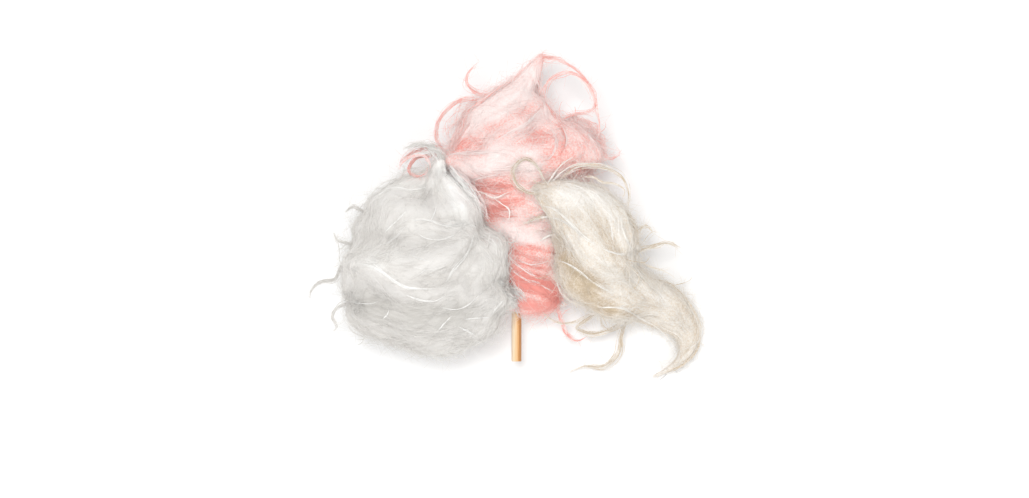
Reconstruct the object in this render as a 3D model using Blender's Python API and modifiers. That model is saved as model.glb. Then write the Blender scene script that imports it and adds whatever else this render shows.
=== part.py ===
"""Cotton candy in three colours on one wooden stick, lying on its back on a table.

The pink floss is wound round the stick. The white floss presses against it on the left and the cream
floss on the right. Each floss is one solid: a swept, rounded form with its folds, and the curled
locks that spring from it. Right across the candy is +X, from the stick to the peak is +Y, and the
shown side faces +Z. Sizes are in millimetres here and become metres when a mesh is made.
"""

import math
from collections import namedtuple

import bmesh
import bpy
import numpy as np

MM = 0.001

# Driving dimensions
STICK_DIAMETER = 7.0
STICK_SHOWN = 43.5  # length below the mouth where the stick leaves the floss
STICK_INSIDE = 72.0  # length held in the floss
STICK_HEIGHT = 27.0  # axis above the table
STICK_SIDES = 32
STICK_EDGE = 0.7  # rounded rim at both ends
GAP = 0.35  # clearance between neighbouring solids
TABLE = 0.0

SECTION_SIDES = 32  # corners round each floss
SECTION_RINGS = 28  # rings from one end of a floss to the other
RING_CROWDING = 0.55  # 0 spaces the rings evenly, 1 crowds them at both ends
LOCK_RINGS = 9
LOCK_SIDES_LEVEL = 1  # bevel resolution of a lock, which gives six sides

Station = namedtuple("Station", "x y z half_width half_depth")
Fold = namedtuple("Fold", "height width path")
Winding = namedtuple("Winding", "height waves turns phase")
Floss = namedtuple(
    "Floss", "name colour turning stations start_cap end_cap windings folds locks"
)

# Stations run from the mouth at the stick to the peak.
PINK = Floss(
    name="pink_floss",
    colour=(0.91, 0.62, 0.58),
    turning=False,
    stations=(
        Station(10, -11, 27, 19, 20),
        Station(8, 10, 27, 27, 27),
        Station(4, 49, 31, 36, 31),
        Station(2, 84, 39, 50, 41),
        Station(3, 101, 45, 56, 46),
        Station(1, 119, 46, 43.5, 39),
        Station(-4, 133, 48, 29, 28),
        Station(-4, 143, 50, 18.5, 19),
        Station(5, 153, 53, 11, 12),
        Station(13, 164, 55, 6, 7),
        Station(17.5, 172, 56, 2.6, 2.8),
    ),
    start_cap=0.06,
    end_cap=0.02,
    windings=(Winding(1.6, 5.0, 1, 0.3), Winding(0.9, 9.0, -2, 1.7)),
    folds=(
        Fold(-6, 7, ((-36, 79), (-14, 80), (2, 81))),
        Fold(4, 8, ((-46, 96), (-15, 92), (12, 94))),
        Fold(4, 6, ((17, 160), (18, 137), (4, 123), (-16, 108))),
        Fold(-4, 8, ((12, 124), (18, 112), (20, 102))),
        Fold(4, 6, ((22, 132), (42, 116), (58, 102))),
        Fold(-3, 7, ((-44, 107), (-33, 108), (-22, 110))),
        Fold(-4, 6, ((-22, 62), (-10, 64), (2, 70))),
        Fold(3, 8, ((-10, 46), (5, 44), (20, 42))),
        Fold(-3, 8, ((-6, 24), (10, 16), (24, 14))),
    ),
    locks=(
        ("peak_arc", ((10, 158, 54, 2.4), (17, 171, 57, 2.2), (34, 166, 60, 1.6), (51, 150, 62, 1.4), (57, 130, 60, 1.3), (58, 112, 52, 1.2))),
        ("peak_ring", ((17, 138, 57, 2.0), (23, 154, 62, 1.7), (37, 159, 64, 1.6), (51, 148, 64, 1.5), (54, 134, 60, 1.5), (40, 130, 57, 1.6), (28, 128, 56, 1.9))),
        ("left_arc", ((-20, 138, 50, 2.2), (-42, 138, 52, 1.8), (-54, 126, 50, 1.6), (-56, 112, 48, 1.5), (-47, 101, 47, 1.9))),
        ("horn", ((-14, 142, 50, 2.2), (-28, 145, 53, 1.9), (-35, 152, 56, 1.5), (-33, 160, 57, 1.1), (-25.5, 166, 57, 0.7))),
        ("left_curl", ((-46, 104, 46, 2.2), (-58, 107, 52, 1.8), (-71, 104, 58, 1.5), (-79.5, 98, 60, 1.3), (-82, 91, 60, 0.8))),
        ("left_ring", ((-44, 99, 50, 1.9), (-60, 101.5, 63, 1.6), (-71, 98, 70, 1.4), (-75, 90, 74, 1.4), (-68.5, 86, 77, 1.4), (-62.5, 88, 79, 1.2), (-62, 93, 80, 0.9))),
        ("right_tip", ((48, 114, 50, 2.6), (58, 105, 49, 2.1), (66, 99, 48, 1.6), (71, 101, 48, 1.1), (72.5, 105, 48, 0.7))),
        ("low_hook", ((29, 0, 26, 2.4), (31, -14, 22, 1.9), (36, -24, 19, 1.6), (43, -29, 17, 1.2), (50, -26, 16, 0.7))),
    ),
)

# Stations run from the rounded bottom to the tip that curls over the pink.
WHITE = Floss(
    name="white_floss",
    colour=(0.86, 0.855, 0.84),
    turning=False,
    stations=(
        Station(-56, -38.5, 47, 24, 24),
        Station(-60, -24, 50, 46, 44),
        Station(-63, -6, 53, 57, 55),
        Station(-63.5, 15, 54, 58.5, 56),
        Station(-63, 40, 54, 54, 53),
        Station(-66, 60, 55, 42, 43),
        Station(-68, 75, 57, 31.5, 32),
        Station(-65, 84, 59, 20, 22),
        Station(-57, 90, 62, 8.5, 11),
        Station(-52.5, 99, 67, 3.6, 4.5),
    ),
    start_cap=0.14,
    end_cap=0.02,
    windings=(Winding(1.8, 4.0, 1, 0.9), Winding(1.0, 7.0, -1, 2.4)),
    folds=(
        Fold(6, 9, ((-46, 88), (-35, 70), (-30, 54), (-40, 38), (-60, 28))),
        Fold(-5.5, 6, ((-18, 52), (-28, 40), (-38, 26), (-56, 14))),
        Fold(4, 10, ((-14, 40), (-12, 22), (-20, 2))),
        Fold(3.5, 8, ((-110, 26), (-92, 14), (-66, 6), (-42, 10))),
        Fold(-3.5, 8, ((-108, 8), (-80, -6), (-50, -10))),
        Fold(3, 8, ((-98, 68), (-80, 64), (-60, 54))),
        Fold(-3, 7, ((-110, 42), (-88, 44), (-66, 38))),
    ),
    locks=(
        ("tip_curl", ((-53.5, 88, 63, 5), (-52, 97, 68, 3.8), (-56, 105, 71, 3), (-66, 108.5, 72, 2.2), (-79.5, 105, 70, 1.2))),
        ("upper_curl", ((-98, 58, 56, 1.8), (-107, 62, 58, 1.5), (-114, 65.5, 59, 1.2), (-120, 61, 58, 0.7))),
        ("middle_curl", ((-110, 38, 54, 1.7), (-119, 40, 55, 1.4), (-125, 42, 55, 1.1), (-128, 48, 55, 0.7))),
        ("long_curl", ((-112, 24, 50, 2.0), (-121, 24, 49, 1.7), (-128, 14, 46, 1.5), (-138, 12.5, 44, 1.3), (-144, 6, 42, 1.0), (-145, -1, 41, 0.7))),
        ("low_curl", ((-116, -2, 44, 1.8), (-125, -5, 42, 1.5), (-129, -12, 39, 1.3), (-126, -19, 37, 1.0), (-130.5, -24, 36, 0.7))),
        ("stick_drape", ((-10, 12, 58, 2.8), (-4, 4, 47, 2.3), (0.5, -1, 37, 1.6), (3.5, -4, 34, 0.8))),
    ),
)

# Stations run from the head on the pink to the tip of the tail.
CREAM = Floss(
    name="cream_floss",
    colour=(0.87, 0.83, 0.76),
    turning=True,
    stations=(
        Station(11, 78, 75, 6, 7),
        Station(30, 71, 71, 15, 17),
        Station(44.5, 60, 62, 25.5, 30),
        Station(53, 42, 52, 29.5, 41),
        Station(58, 23, 45, 28, 44),
        Station(71, 8.5, 36, 23, 36),
        Station(91, 0.5, 24, 17.5, 25),
        Station(109, -10, 18, 15.3, 19),
        Station(120, -24, 12, 10.5, 12.5),
        Station(119, -39, 8, 5.4, 8.2),
        Station(108, -49, 5.2, 2.6, 4),
        Station(97, -54.5, 3.2, 1.3, 2),
    ),
    start_cap=0.08,
    end_cap=0.01,
    windings=(Winding(1.2, 2.0, 3, 0.4), Winding(0.8, 3.0, -4, 1.2)),
    folds=(
        Fold(4, 7, ((24, 70), (46, 52), (64, 30), (90, 8), (110, -4))),
        Fold(-4.5, 8, ((30, 38), (46, 18), (64, 4))),
        Fold(-3.5, 6, ((54, 66), (62, 50), (72, 34))),
        Fold(3.5, 6, ((72, 66), (78, 46), (82, 30))),
        Fold(3, 6, ((28, 28), (46, 4), (70, -8))),
        Fold(-3, 5, ((86, -14), (104, -22), (112, -30))),
    ),
    locks=(
        ("head_ring", ((18, 74, 80, 2.0), (8, 75, 84, 1.7), (0, 81, 88, 1.5), (-1.5, 91, 92, 1.4), (6, 98, 94, 1.3), (14, 93, 93, 1.2), (19, 84, 87, 1.3), (22, 77, 82, 1.6))),
        ("head_arc", ((28, 82, 80, 1.8), (42, 92, 84, 1.6), (58, 92.5, 80, 1.5), (73, 86, 73, 1.5), (78, 72, 65, 1.4), (74, 60, 60, 1.8))),
        ("side_arc", ((75, 66, 62, 1.8), (83, 50, 58, 1.6), (84, 38, 52, 1.6), (77, 30, 46, 2.0))),
        ("right_curl", ((78, 32, 44, 2.0), (92, 36, 42, 1.6), (105, 40, 40, 1.3), (116, 36, 38, 0.7))),
        ("small_curl", ((82, 46, 46, 1.5), (91, 52, 46, 1.2), (97, 46, 45, 0.7))),
        ("under_loop", ((62, -6, 24, 2.0), (50, -14, 22, 1.7), (42, -20, 19, 1.5), (56, -24, 17, 1.6), (68, -20, 18, 1.6), (78, -12, 19, 2.0))),
        ("hanging_curl", ((78, -13, 16, 2.2), (74, -26, 13, 2.0), (72, -38, 10, 1.8), (61, -48, 7, 1.5), (48, -47.5, 5, 1.2), (35, -53, 4, 0.7))),
        ("waist_strand", ((36, 52, 66, 1.6), (24, 58, 66, 1.4), (14, 57, 66, 1.2), (4, 52, 65, 0.7))),
    ),
)


def clear_scene():
    for obj in list(bpy.data.objects):
        bpy.data.objects.remove(obj)


def make_collection(name):
    made = bpy.data.collections.new(name)
    bpy.context.scene.collection.children.link(made)
    return made


def make_material(name, colour, roughness):
    """A Principled material of one colour."""
    made = bpy.data.materials.new(name)
    made.use_nodes = True
    shader = made.node_tree.nodes["Principled BSDF"]
    shader.inputs["Base Color"].default_value = (*colour, 1)
    shader.inputs["Roughness"].default_value = roughness
    shader.inputs["Metallic"].default_value = 0
    return made


def smooth_curve(points, shares):
    """Values at the given shares of the length of one smooth curve through the points."""
    points = np.asarray(points, float)
    steps = np.linalg.norm(np.diff(points[:, :3], axis=0), axis=1)
    knots = np.concatenate([[0], np.cumsum(steps)])
    knots /= knots[-1]
    slopes = np.gradient(points, knots, axis=0)
    at = np.clip(np.searchsorted(knots, shares, side="right") - 1, 0, len(steps) - 1)
    span = (knots[at + 1] - knots[at])[:, None]
    t = ((shares - knots[at]) / span[:, 0])[:, None]
    return (
        (2 * t**3 - 3 * t**2 + 1) * points[at]
        + (t**3 - 2 * t**2 + t) * span * slopes[at]
        + (3 * t**2 - 2 * t**3) * points[at + 1]
        + (t**3 - t**2) * span * slopes[at + 1]
    )


def spine_frame(floss, shares):
    """Centres, sideways directions and half sizes of the upright sections at these shares."""
    rows = smooth_curve(floss.stations, shares)
    side = np.tile((1.0, 0, 0), (len(rows), 1))
    if floss.turning:
        step = 1e-3
        ahead = smooth_curve(floss.stations, np.clip(shares + step, 0, 1))
        behind = smooth_curve(floss.stations, np.clip(shares - step, 0, 1))
        along = ahead - behind
        side = np.stack([along[:, 1], -along[:, 0], np.zeros(len(rows))], axis=1)
        side /= np.linalg.norm(side, axis=1, keepdims=True)
    return rows[:, :3], side, rows[:, 3:5]


def rounded_end(share, cap):
    """Grows like a quarter circle from 0 to 1 over the cap, which is a share of the length."""
    left = 1 - np.clip(share / cap, 0, 1)
    return np.sqrt(np.clip(1 - left**2, 0, 1))


def distance_to_path(places, path):
    """Distance in plan from each place to the line through the path's points."""
    nearest = np.full(len(places), np.inf)
    for start, end in zip(path[:-1], path[1:]):
        start, run = np.array(start), np.subtract(end, start)
        share = np.clip((places - start) @ run / (run @ run), 0, 1)
        gone = places - start - share[:, None] * run
        nearest = np.minimum(nearest, np.linalg.norm(gone, axis=1))
    return nearest


def relief(floss, shares, angles, places):
    """How far the surface stands out from the plain section: wound waves all round, folds on top."""
    out = np.zeros(len(shares))
    for wave in floss.windings:
        turn = 2 * math.pi * wave.waves * shares + wave.turns * angles + wave.phase
        out += wave.height * np.sin(turn)
    upper = np.clip(0.35 + 1.1 * np.sin(angles), 0, 1)
    for fold in floss.folds:
        gone = distance_to_path(places, fold.path)
        out += upper * fold.height * np.exp(-((gone / fold.width) ** 2))
    return out


def floss_surface(floss, shares, angles):
    """Points of a floss, in millimetres, at shares of its length and angles round its spine."""
    centre, side, half = spine_frame(floss, shares)
    up = np.array((0, 0, 1))
    cap = rounded_end(shares, floss.start_cap) * rounded_end(1 - shares, floss.end_cap)
    across = (half[:, 0] * cap * np.cos(angles))[:, None] * side
    over = (half[:, 1] * cap * np.sin(angles))[:, None] * up
    plain = centre + across + over
    outward = np.cos(angles)[:, None] * side + np.sin(angles)[:, None] * up
    # A thin end carries no folds.
    carried = np.clip(half[:, 0] * cap / 25, 0, 1)
    swell = relief(floss, shares, angles, plain[:, :2]) * carried
    made = plain + swell[:, None] * outward
    made[:, 2] = np.maximum(made[:, 2], TABLE)
    return made


def new_object(name, mesh, collection, root, material=None):
    made = bpy.data.objects.new(name, mesh)
    collection.objects.link(made)
    made.parent = root
    if material:
        mesh.materials.append(material)
    return made


def hide_helper(obj):
    obj.hide_render = True
    obj.display_type = "WIRE"


def make_floss_body(floss, grown, collection, root):
    """A globe whose rings are carried to the sections along the spine, grown on all sides."""
    shape = bmesh.new()
    bmesh.ops.create_uvsphere(
        shape, u_segments=SECTION_SIDES, v_segments=SECTION_RINGS, radius=1
    )
    globe = np.array([v.co for v in shape.verts])
    polar = np.arccos(np.clip(-globe[:, 2], -1, 1)) / math.pi
    crowded = (1 - np.cos(math.pi * polar)) / 2
    shares = polar + RING_CROWDING * (crowded - polar)
    angles = np.arctan2(globe[:, 1], globe[:, 0])
    for vertex, place in zip(shape.verts, floss_surface(floss, shares, angles)):
        vertex.co = place * MM
    # The globe is carried over as its mirror image, so its faces are turned out again.
    bmesh.ops.reverse_faces(shape, faces=shape.faces)
    # Fixed diagonals keep the grown copy parallel to the plain one.
    bmesh.ops.triangulate(shape, faces=shape.faces, quad_method="FIXED")
    shape.normal_update()
    moved = [v.co + v.normal * grown * MM for v in shape.verts]
    for vertex, place in zip(shape.verts, moved):
        vertex.co = place
    mesh = bpy.data.meshes.new(floss.name)
    shape.to_mesh(mesh)
    shape.free()
    mesh.shade_smooth()
    material = make_material(floss.name, floss.colour, 0.85)
    return new_object(floss.name, mesh, collection, root, material)


def make_lock(name, route, grown, collection, root):
    """One curled lock: a tapered tube along a smooth route of x, y, z and radius."""
    rows = smooth_curve(route, np.linspace(0, 1, LOCK_RINGS))
    for end, inner in ((0, 1), (-1, -2)):
        out = rows[end, :3] - rows[inner, :3]
        rows[end, :3] += grown * out / np.linalg.norm(out)
    curve = bpy.data.curves.new(name, "CURVE")
    curve.dimensions = "3D"
    curve.bevel_depth = MM
    curve.bevel_resolution = LOCK_SIDES_LEVEL
    curve.use_fill_caps = True
    spline = curve.splines.new("POLY")
    spline.points.add(LOCK_RINGS - 1)
    for point, (x, y, z, radius) in zip(spline.points, rows):
        point.co = (x * MM, y * MM, z * MM, 1)
        point.radius = radius + grown
    tube = bpy.data.objects.new(name, curve)
    collection.objects.link(tube)
    graph = bpy.context.evaluated_depsgraph_get()
    mesh = bpy.data.meshes.new_from_object(tube.evaluated_get(graph))
    bpy.data.objects.remove(tube)
    shape = bmesh.new()
    shape.from_mesh(mesh)
    bmesh.ops.remove_doubles(shape, verts=shape.verts, dist=0.02 * MM)
    bmesh.ops.recalc_face_normals(shape, faces=shape.faces)
    shape.to_mesh(mesh)
    shape.free()
    lock = new_object(name, mesh, collection, root)
    hide_helper(lock)
    return lock


def add_boolean(obj, name, operation, collection):
    made = obj.modifiers.new(name, "BOOLEAN")
    made.operation = operation
    made.operand_type = "COLLECTION"
    made.collection = collection
    made.solver = "EXACT"


def make_floss(floss, collection, root):
    """The body of one floss with its locks joined to it."""
    body = make_floss_body(floss, 0, collection, root)
    locks = make_collection(floss.name + ".locks")
    for name, route in floss.locks:
        make_lock(floss.name + "." + name, route, 0, locks, root)
    add_boolean(body, "locks", "UNION", locks)
    return body


def make_floss_cutters(floss, collection, root):
    """The same body and locks, larger by the gap, which cut their room out of a neighbour."""
    hide_helper(make_floss_body(floss, GAP, collection, root))
    for name, route in floss.locks:
        make_lock("room." + name, route, GAP, collection, root)


def make_stick(grown, collection, root):
    """A turned wooden stick along +Y with rounded rims, or its larger cutter."""
    length = STICK_SHOWN + STICK_INSIDE + 2 * grown
    shape = bmesh.new()
    bmesh.ops.create_cone(
        shape,
        cap_ends=True,
        segments=STICK_SIDES,
        radius1=(STICK_DIAMETER / 2 + grown) * MM,
        radius2=(STICK_DIAMETER / 2 + grown) * MM,
        depth=length * MM,
    )
    mesh = bpy.data.meshes.new("stick")
    shape.to_mesh(mesh)
    shape.free()
    mesh.shade_smooth()
    wood = make_material("wood", (0.78, 0.52, 0.27), 0.55)
    stick = new_object("stick", mesh, collection, root, wood)
    stick.rotation_euler = (-math.pi / 2, 0, 0)
    middle = (STICK_INSIDE - STICK_SHOWN) / 2
    stick.location = (0, middle * MM, STICK_HEIGHT * MM)
    rim = stick.modifiers.new("rim", "BEVEL")
    rim.width = STICK_EDGE * MM
    rim.segments = 2
    rim.limit_method = "ANGLE"
    rim.angle_limit = math.radians(60)
    return stick


def centre_on_table(parts, root):
    """Moves everything so that the origin is at the bottom centre of the whole candy."""
    graph = bpy.context.evaluated_depsgraph_get()
    corners = []
    for part in parts:
        evaluated = part.evaluated_get(graph)
        mesh = evaluated.to_mesh()
        corners += [evaluated.matrix_world @ v.co for v in mesh.vertices]
        evaluated.to_mesh_clear()
    corners = np.array(corners)
    low, high = corners.min(axis=0), corners.max(axis=0)
    root.location = (-(low[0] + high[0]) / 2, -(low[1] + high[1]) / 2, -low[2])


def main():
    clear_scene()
    candy = make_collection("cotton_candy")
    cutters = make_collection("cutters")
    root = bpy.data.objects.new("cotton_candy_centre", None)
    candy.objects.link(root)
    white = make_floss(WHITE, candy, root)
    cream = make_floss(CREAM, candy, root)
    pink = make_floss(PINK, candy, root)
    stick = make_stick(0, candy, root)
    make_floss_cutters(WHITE, cutters, root)
    make_floss_cutters(CREAM, cutters, root)
    hide_helper(make_stick(GAP, cutters, root))
    add_boolean(pink, "room_for_neighbours", "DIFFERENCE", cutters)
    bpy.context.view_layer.update()
    centre_on_table((white, cream, pink, stick), root)


main()
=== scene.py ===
"""Cotton candy in three colours on one wooden stick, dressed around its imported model.

Each floss is a core whose surface is combed along the way its sugar was wound, under thousands of
separate drawn fibres. Its curled locks are bundles of finer strands. Sizes are in millimetres in
the design frame, where the stick's axis is X = 0 and the floss leaves it at Y = 0, and they become
metres in the model's frame when a mesh is made.
"""

import math
from collections import namedtuple

import bpy
import numpy as np
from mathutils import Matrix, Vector
from mathutils.bvhtree import BVHTree


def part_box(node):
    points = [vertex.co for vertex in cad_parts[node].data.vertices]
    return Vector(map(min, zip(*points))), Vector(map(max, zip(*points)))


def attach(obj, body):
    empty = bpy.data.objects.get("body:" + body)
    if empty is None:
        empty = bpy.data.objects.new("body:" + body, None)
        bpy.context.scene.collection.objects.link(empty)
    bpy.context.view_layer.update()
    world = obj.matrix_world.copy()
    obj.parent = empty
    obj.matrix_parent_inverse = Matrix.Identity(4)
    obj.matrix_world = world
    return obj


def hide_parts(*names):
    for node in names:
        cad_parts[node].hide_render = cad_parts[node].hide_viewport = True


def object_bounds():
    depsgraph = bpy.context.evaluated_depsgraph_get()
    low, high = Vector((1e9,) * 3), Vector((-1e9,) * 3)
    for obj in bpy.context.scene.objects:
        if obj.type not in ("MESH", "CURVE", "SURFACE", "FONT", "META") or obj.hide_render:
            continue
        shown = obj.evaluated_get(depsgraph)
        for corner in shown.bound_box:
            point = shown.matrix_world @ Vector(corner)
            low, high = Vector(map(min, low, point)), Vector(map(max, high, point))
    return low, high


bl_info = {
    "name": "Cotton candy",
    "version": (1, 0, 0),
    "blender": (4, 5, 0),
    "location": "3D View > Sidebar > Cotton candy",
    "description": "Adds a three-coloured cotton candy on a wooden stick",
    "category": "Object",
}

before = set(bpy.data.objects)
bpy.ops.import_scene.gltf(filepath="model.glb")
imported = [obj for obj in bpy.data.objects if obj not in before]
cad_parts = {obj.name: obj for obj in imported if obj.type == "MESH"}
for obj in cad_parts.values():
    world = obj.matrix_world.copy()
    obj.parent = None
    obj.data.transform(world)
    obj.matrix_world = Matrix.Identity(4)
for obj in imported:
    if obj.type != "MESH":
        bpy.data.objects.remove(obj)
CAD_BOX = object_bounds()

MM = 0.001

# The stick, as its solid is made
STICK_DIAMETER = 7.0
STICK_LOW_END = -43.5
STICK_HEIGHT = 27.0
STICK_EDGE = 0.7

# Surface grid of each floss
RINGS = 220
SIDES = 360
RING_CROWDING = 0.55  # 0 spaces the rings evenly, 1 crowds them at both ends
FASTEST = 6.0  # most rings or sides in a millimetre, which matters near the ends

# Form of a floss. The table is at height 0.
INSET = 1.6  # how far the core lies inside the solid's outline
FULL_FOLDS = 25  # half width from which a section carries its folds at full height
LUMP_SIZES = (34, 15)
LUMP_HEIGHT = 1.1
TONE_SIZE = 22  # size of the soft patches in its colour
COMB_WIDTH = 6.0  # how far a combing path rules alone
STREAK_STEP = 1.3
STREAK_PEAK = 1.6
OFF_TABLE = 0.4
STRANDS_OFF_TABLE = 0.1
PRESSED_GAP = 0.4  # left between a floss and the neighbour that presses into it
FAR_INSIDE = 60  # deepest that a neighbour reaches in

# Strands
HAIRS = 3200
HAIRS_A_LOCK = 60
HAIR_RADII = (0.05, 0.1)
STRAY_CURLS = 26
DOUBLED_CURLS = 17
TUCK = 0.3  # how deep a fibre's ends are tucked in
FEWER_BELOW = 0.55  # share of the strands left out on the side that lies down
THREAD_GAP = 0.4  # between a thread and what it lies on
FARTHEST = 6.5  # how far out of the solids' box the finest strands may reach

# Looks. A tone runs from about -2, deepest, to 2, palest. Painted shade in grooves, creases and low
# parts takes it deeper, and painted highlights on crests and lit tops take it paler.
TONE_RANGE = (-1.4, 2.2)
TONE_STOPS = {"deepest": 0.08, "deep": 0.26, "middle": 0.43, "pale": 0.67, "bright": 0.94}
SPECKS_A_METRE = 770  # specks of 1.3 mm
GRAINS_A_METRE = 1100  # lines of 0.9 mm
# Birch colours across the stick, from its left side to its right, with painted light in them: a
# painted highlight a third of the way over and painted shade browning the right side.
BIRCH_AND_PAINTED_SHADE_STOPS = {0.1: "D8AD82", 0.34: "F3E1C4", 0.62: "EDCA9D", 0.86: "DDA66B", 1.0: "C0854F"}

# Camera: its view is this wide at the centre's height
LENS = 180.0
SENSOR = 36.0
VIEW_WIDTH = 720.3
VIEW_CENTRE = (-1.4, 35.7, 50.0)

SEEDS = {"pink_floss": 11, "white_floss": 23, "cream_floss": 37}

Station = namedtuple("Station", "x y z half_width half_depth")
Fold = namedtuple("Fold", "height width path")
Winding = namedtuple("Winding", "height waves turns phase")
Mark = namedtuple("Mark", "tone width path")
Floss = namedtuple(
    "Floss",
    "name turning stations start_cap end_cap windings folds look marks combing locks threads",
)
Look = namedtuple("Look", "fine coarse fine_tone coarse_tone lump_tone")
Lock = namedtuple("Lock", "strands route")
Thread = namedtuple("Thread", "strands radius tone height path")
# Fibres of one kind. They lift off by their lifts, sway by angles in radians, are this much
# denser at the rim, and are paler than the surface by a mean and a spread.
Batch = namedtuple("Batch", "count lengths lifts sway rim radii paler")


def rose_and_painted_shade_rows():
    """Deep rose strands across the throat of the pink floss and, row under row, its trunk: partly
    the pink's own deeper colour, partly painted shade in the throat's crease and on the trunk, low
    between the other two.
    """
    rows = []
    for drop in range(0, 25, 5):
        path = ((-28 + 0.4 * drop, 82 - drop), (-14, 79 - drop), (2, 79 - drop))
        rows.append(Thread(5, 1.1, -1.1, 60, path))
    for drop in range(0, 36, 6):
        path = ((-6, 34 - drop), (8, 30 - drop), (24, 27 - drop))
        rows.append(Thread(6, 1.2, -1.1, 40, path))
    return rows
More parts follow.
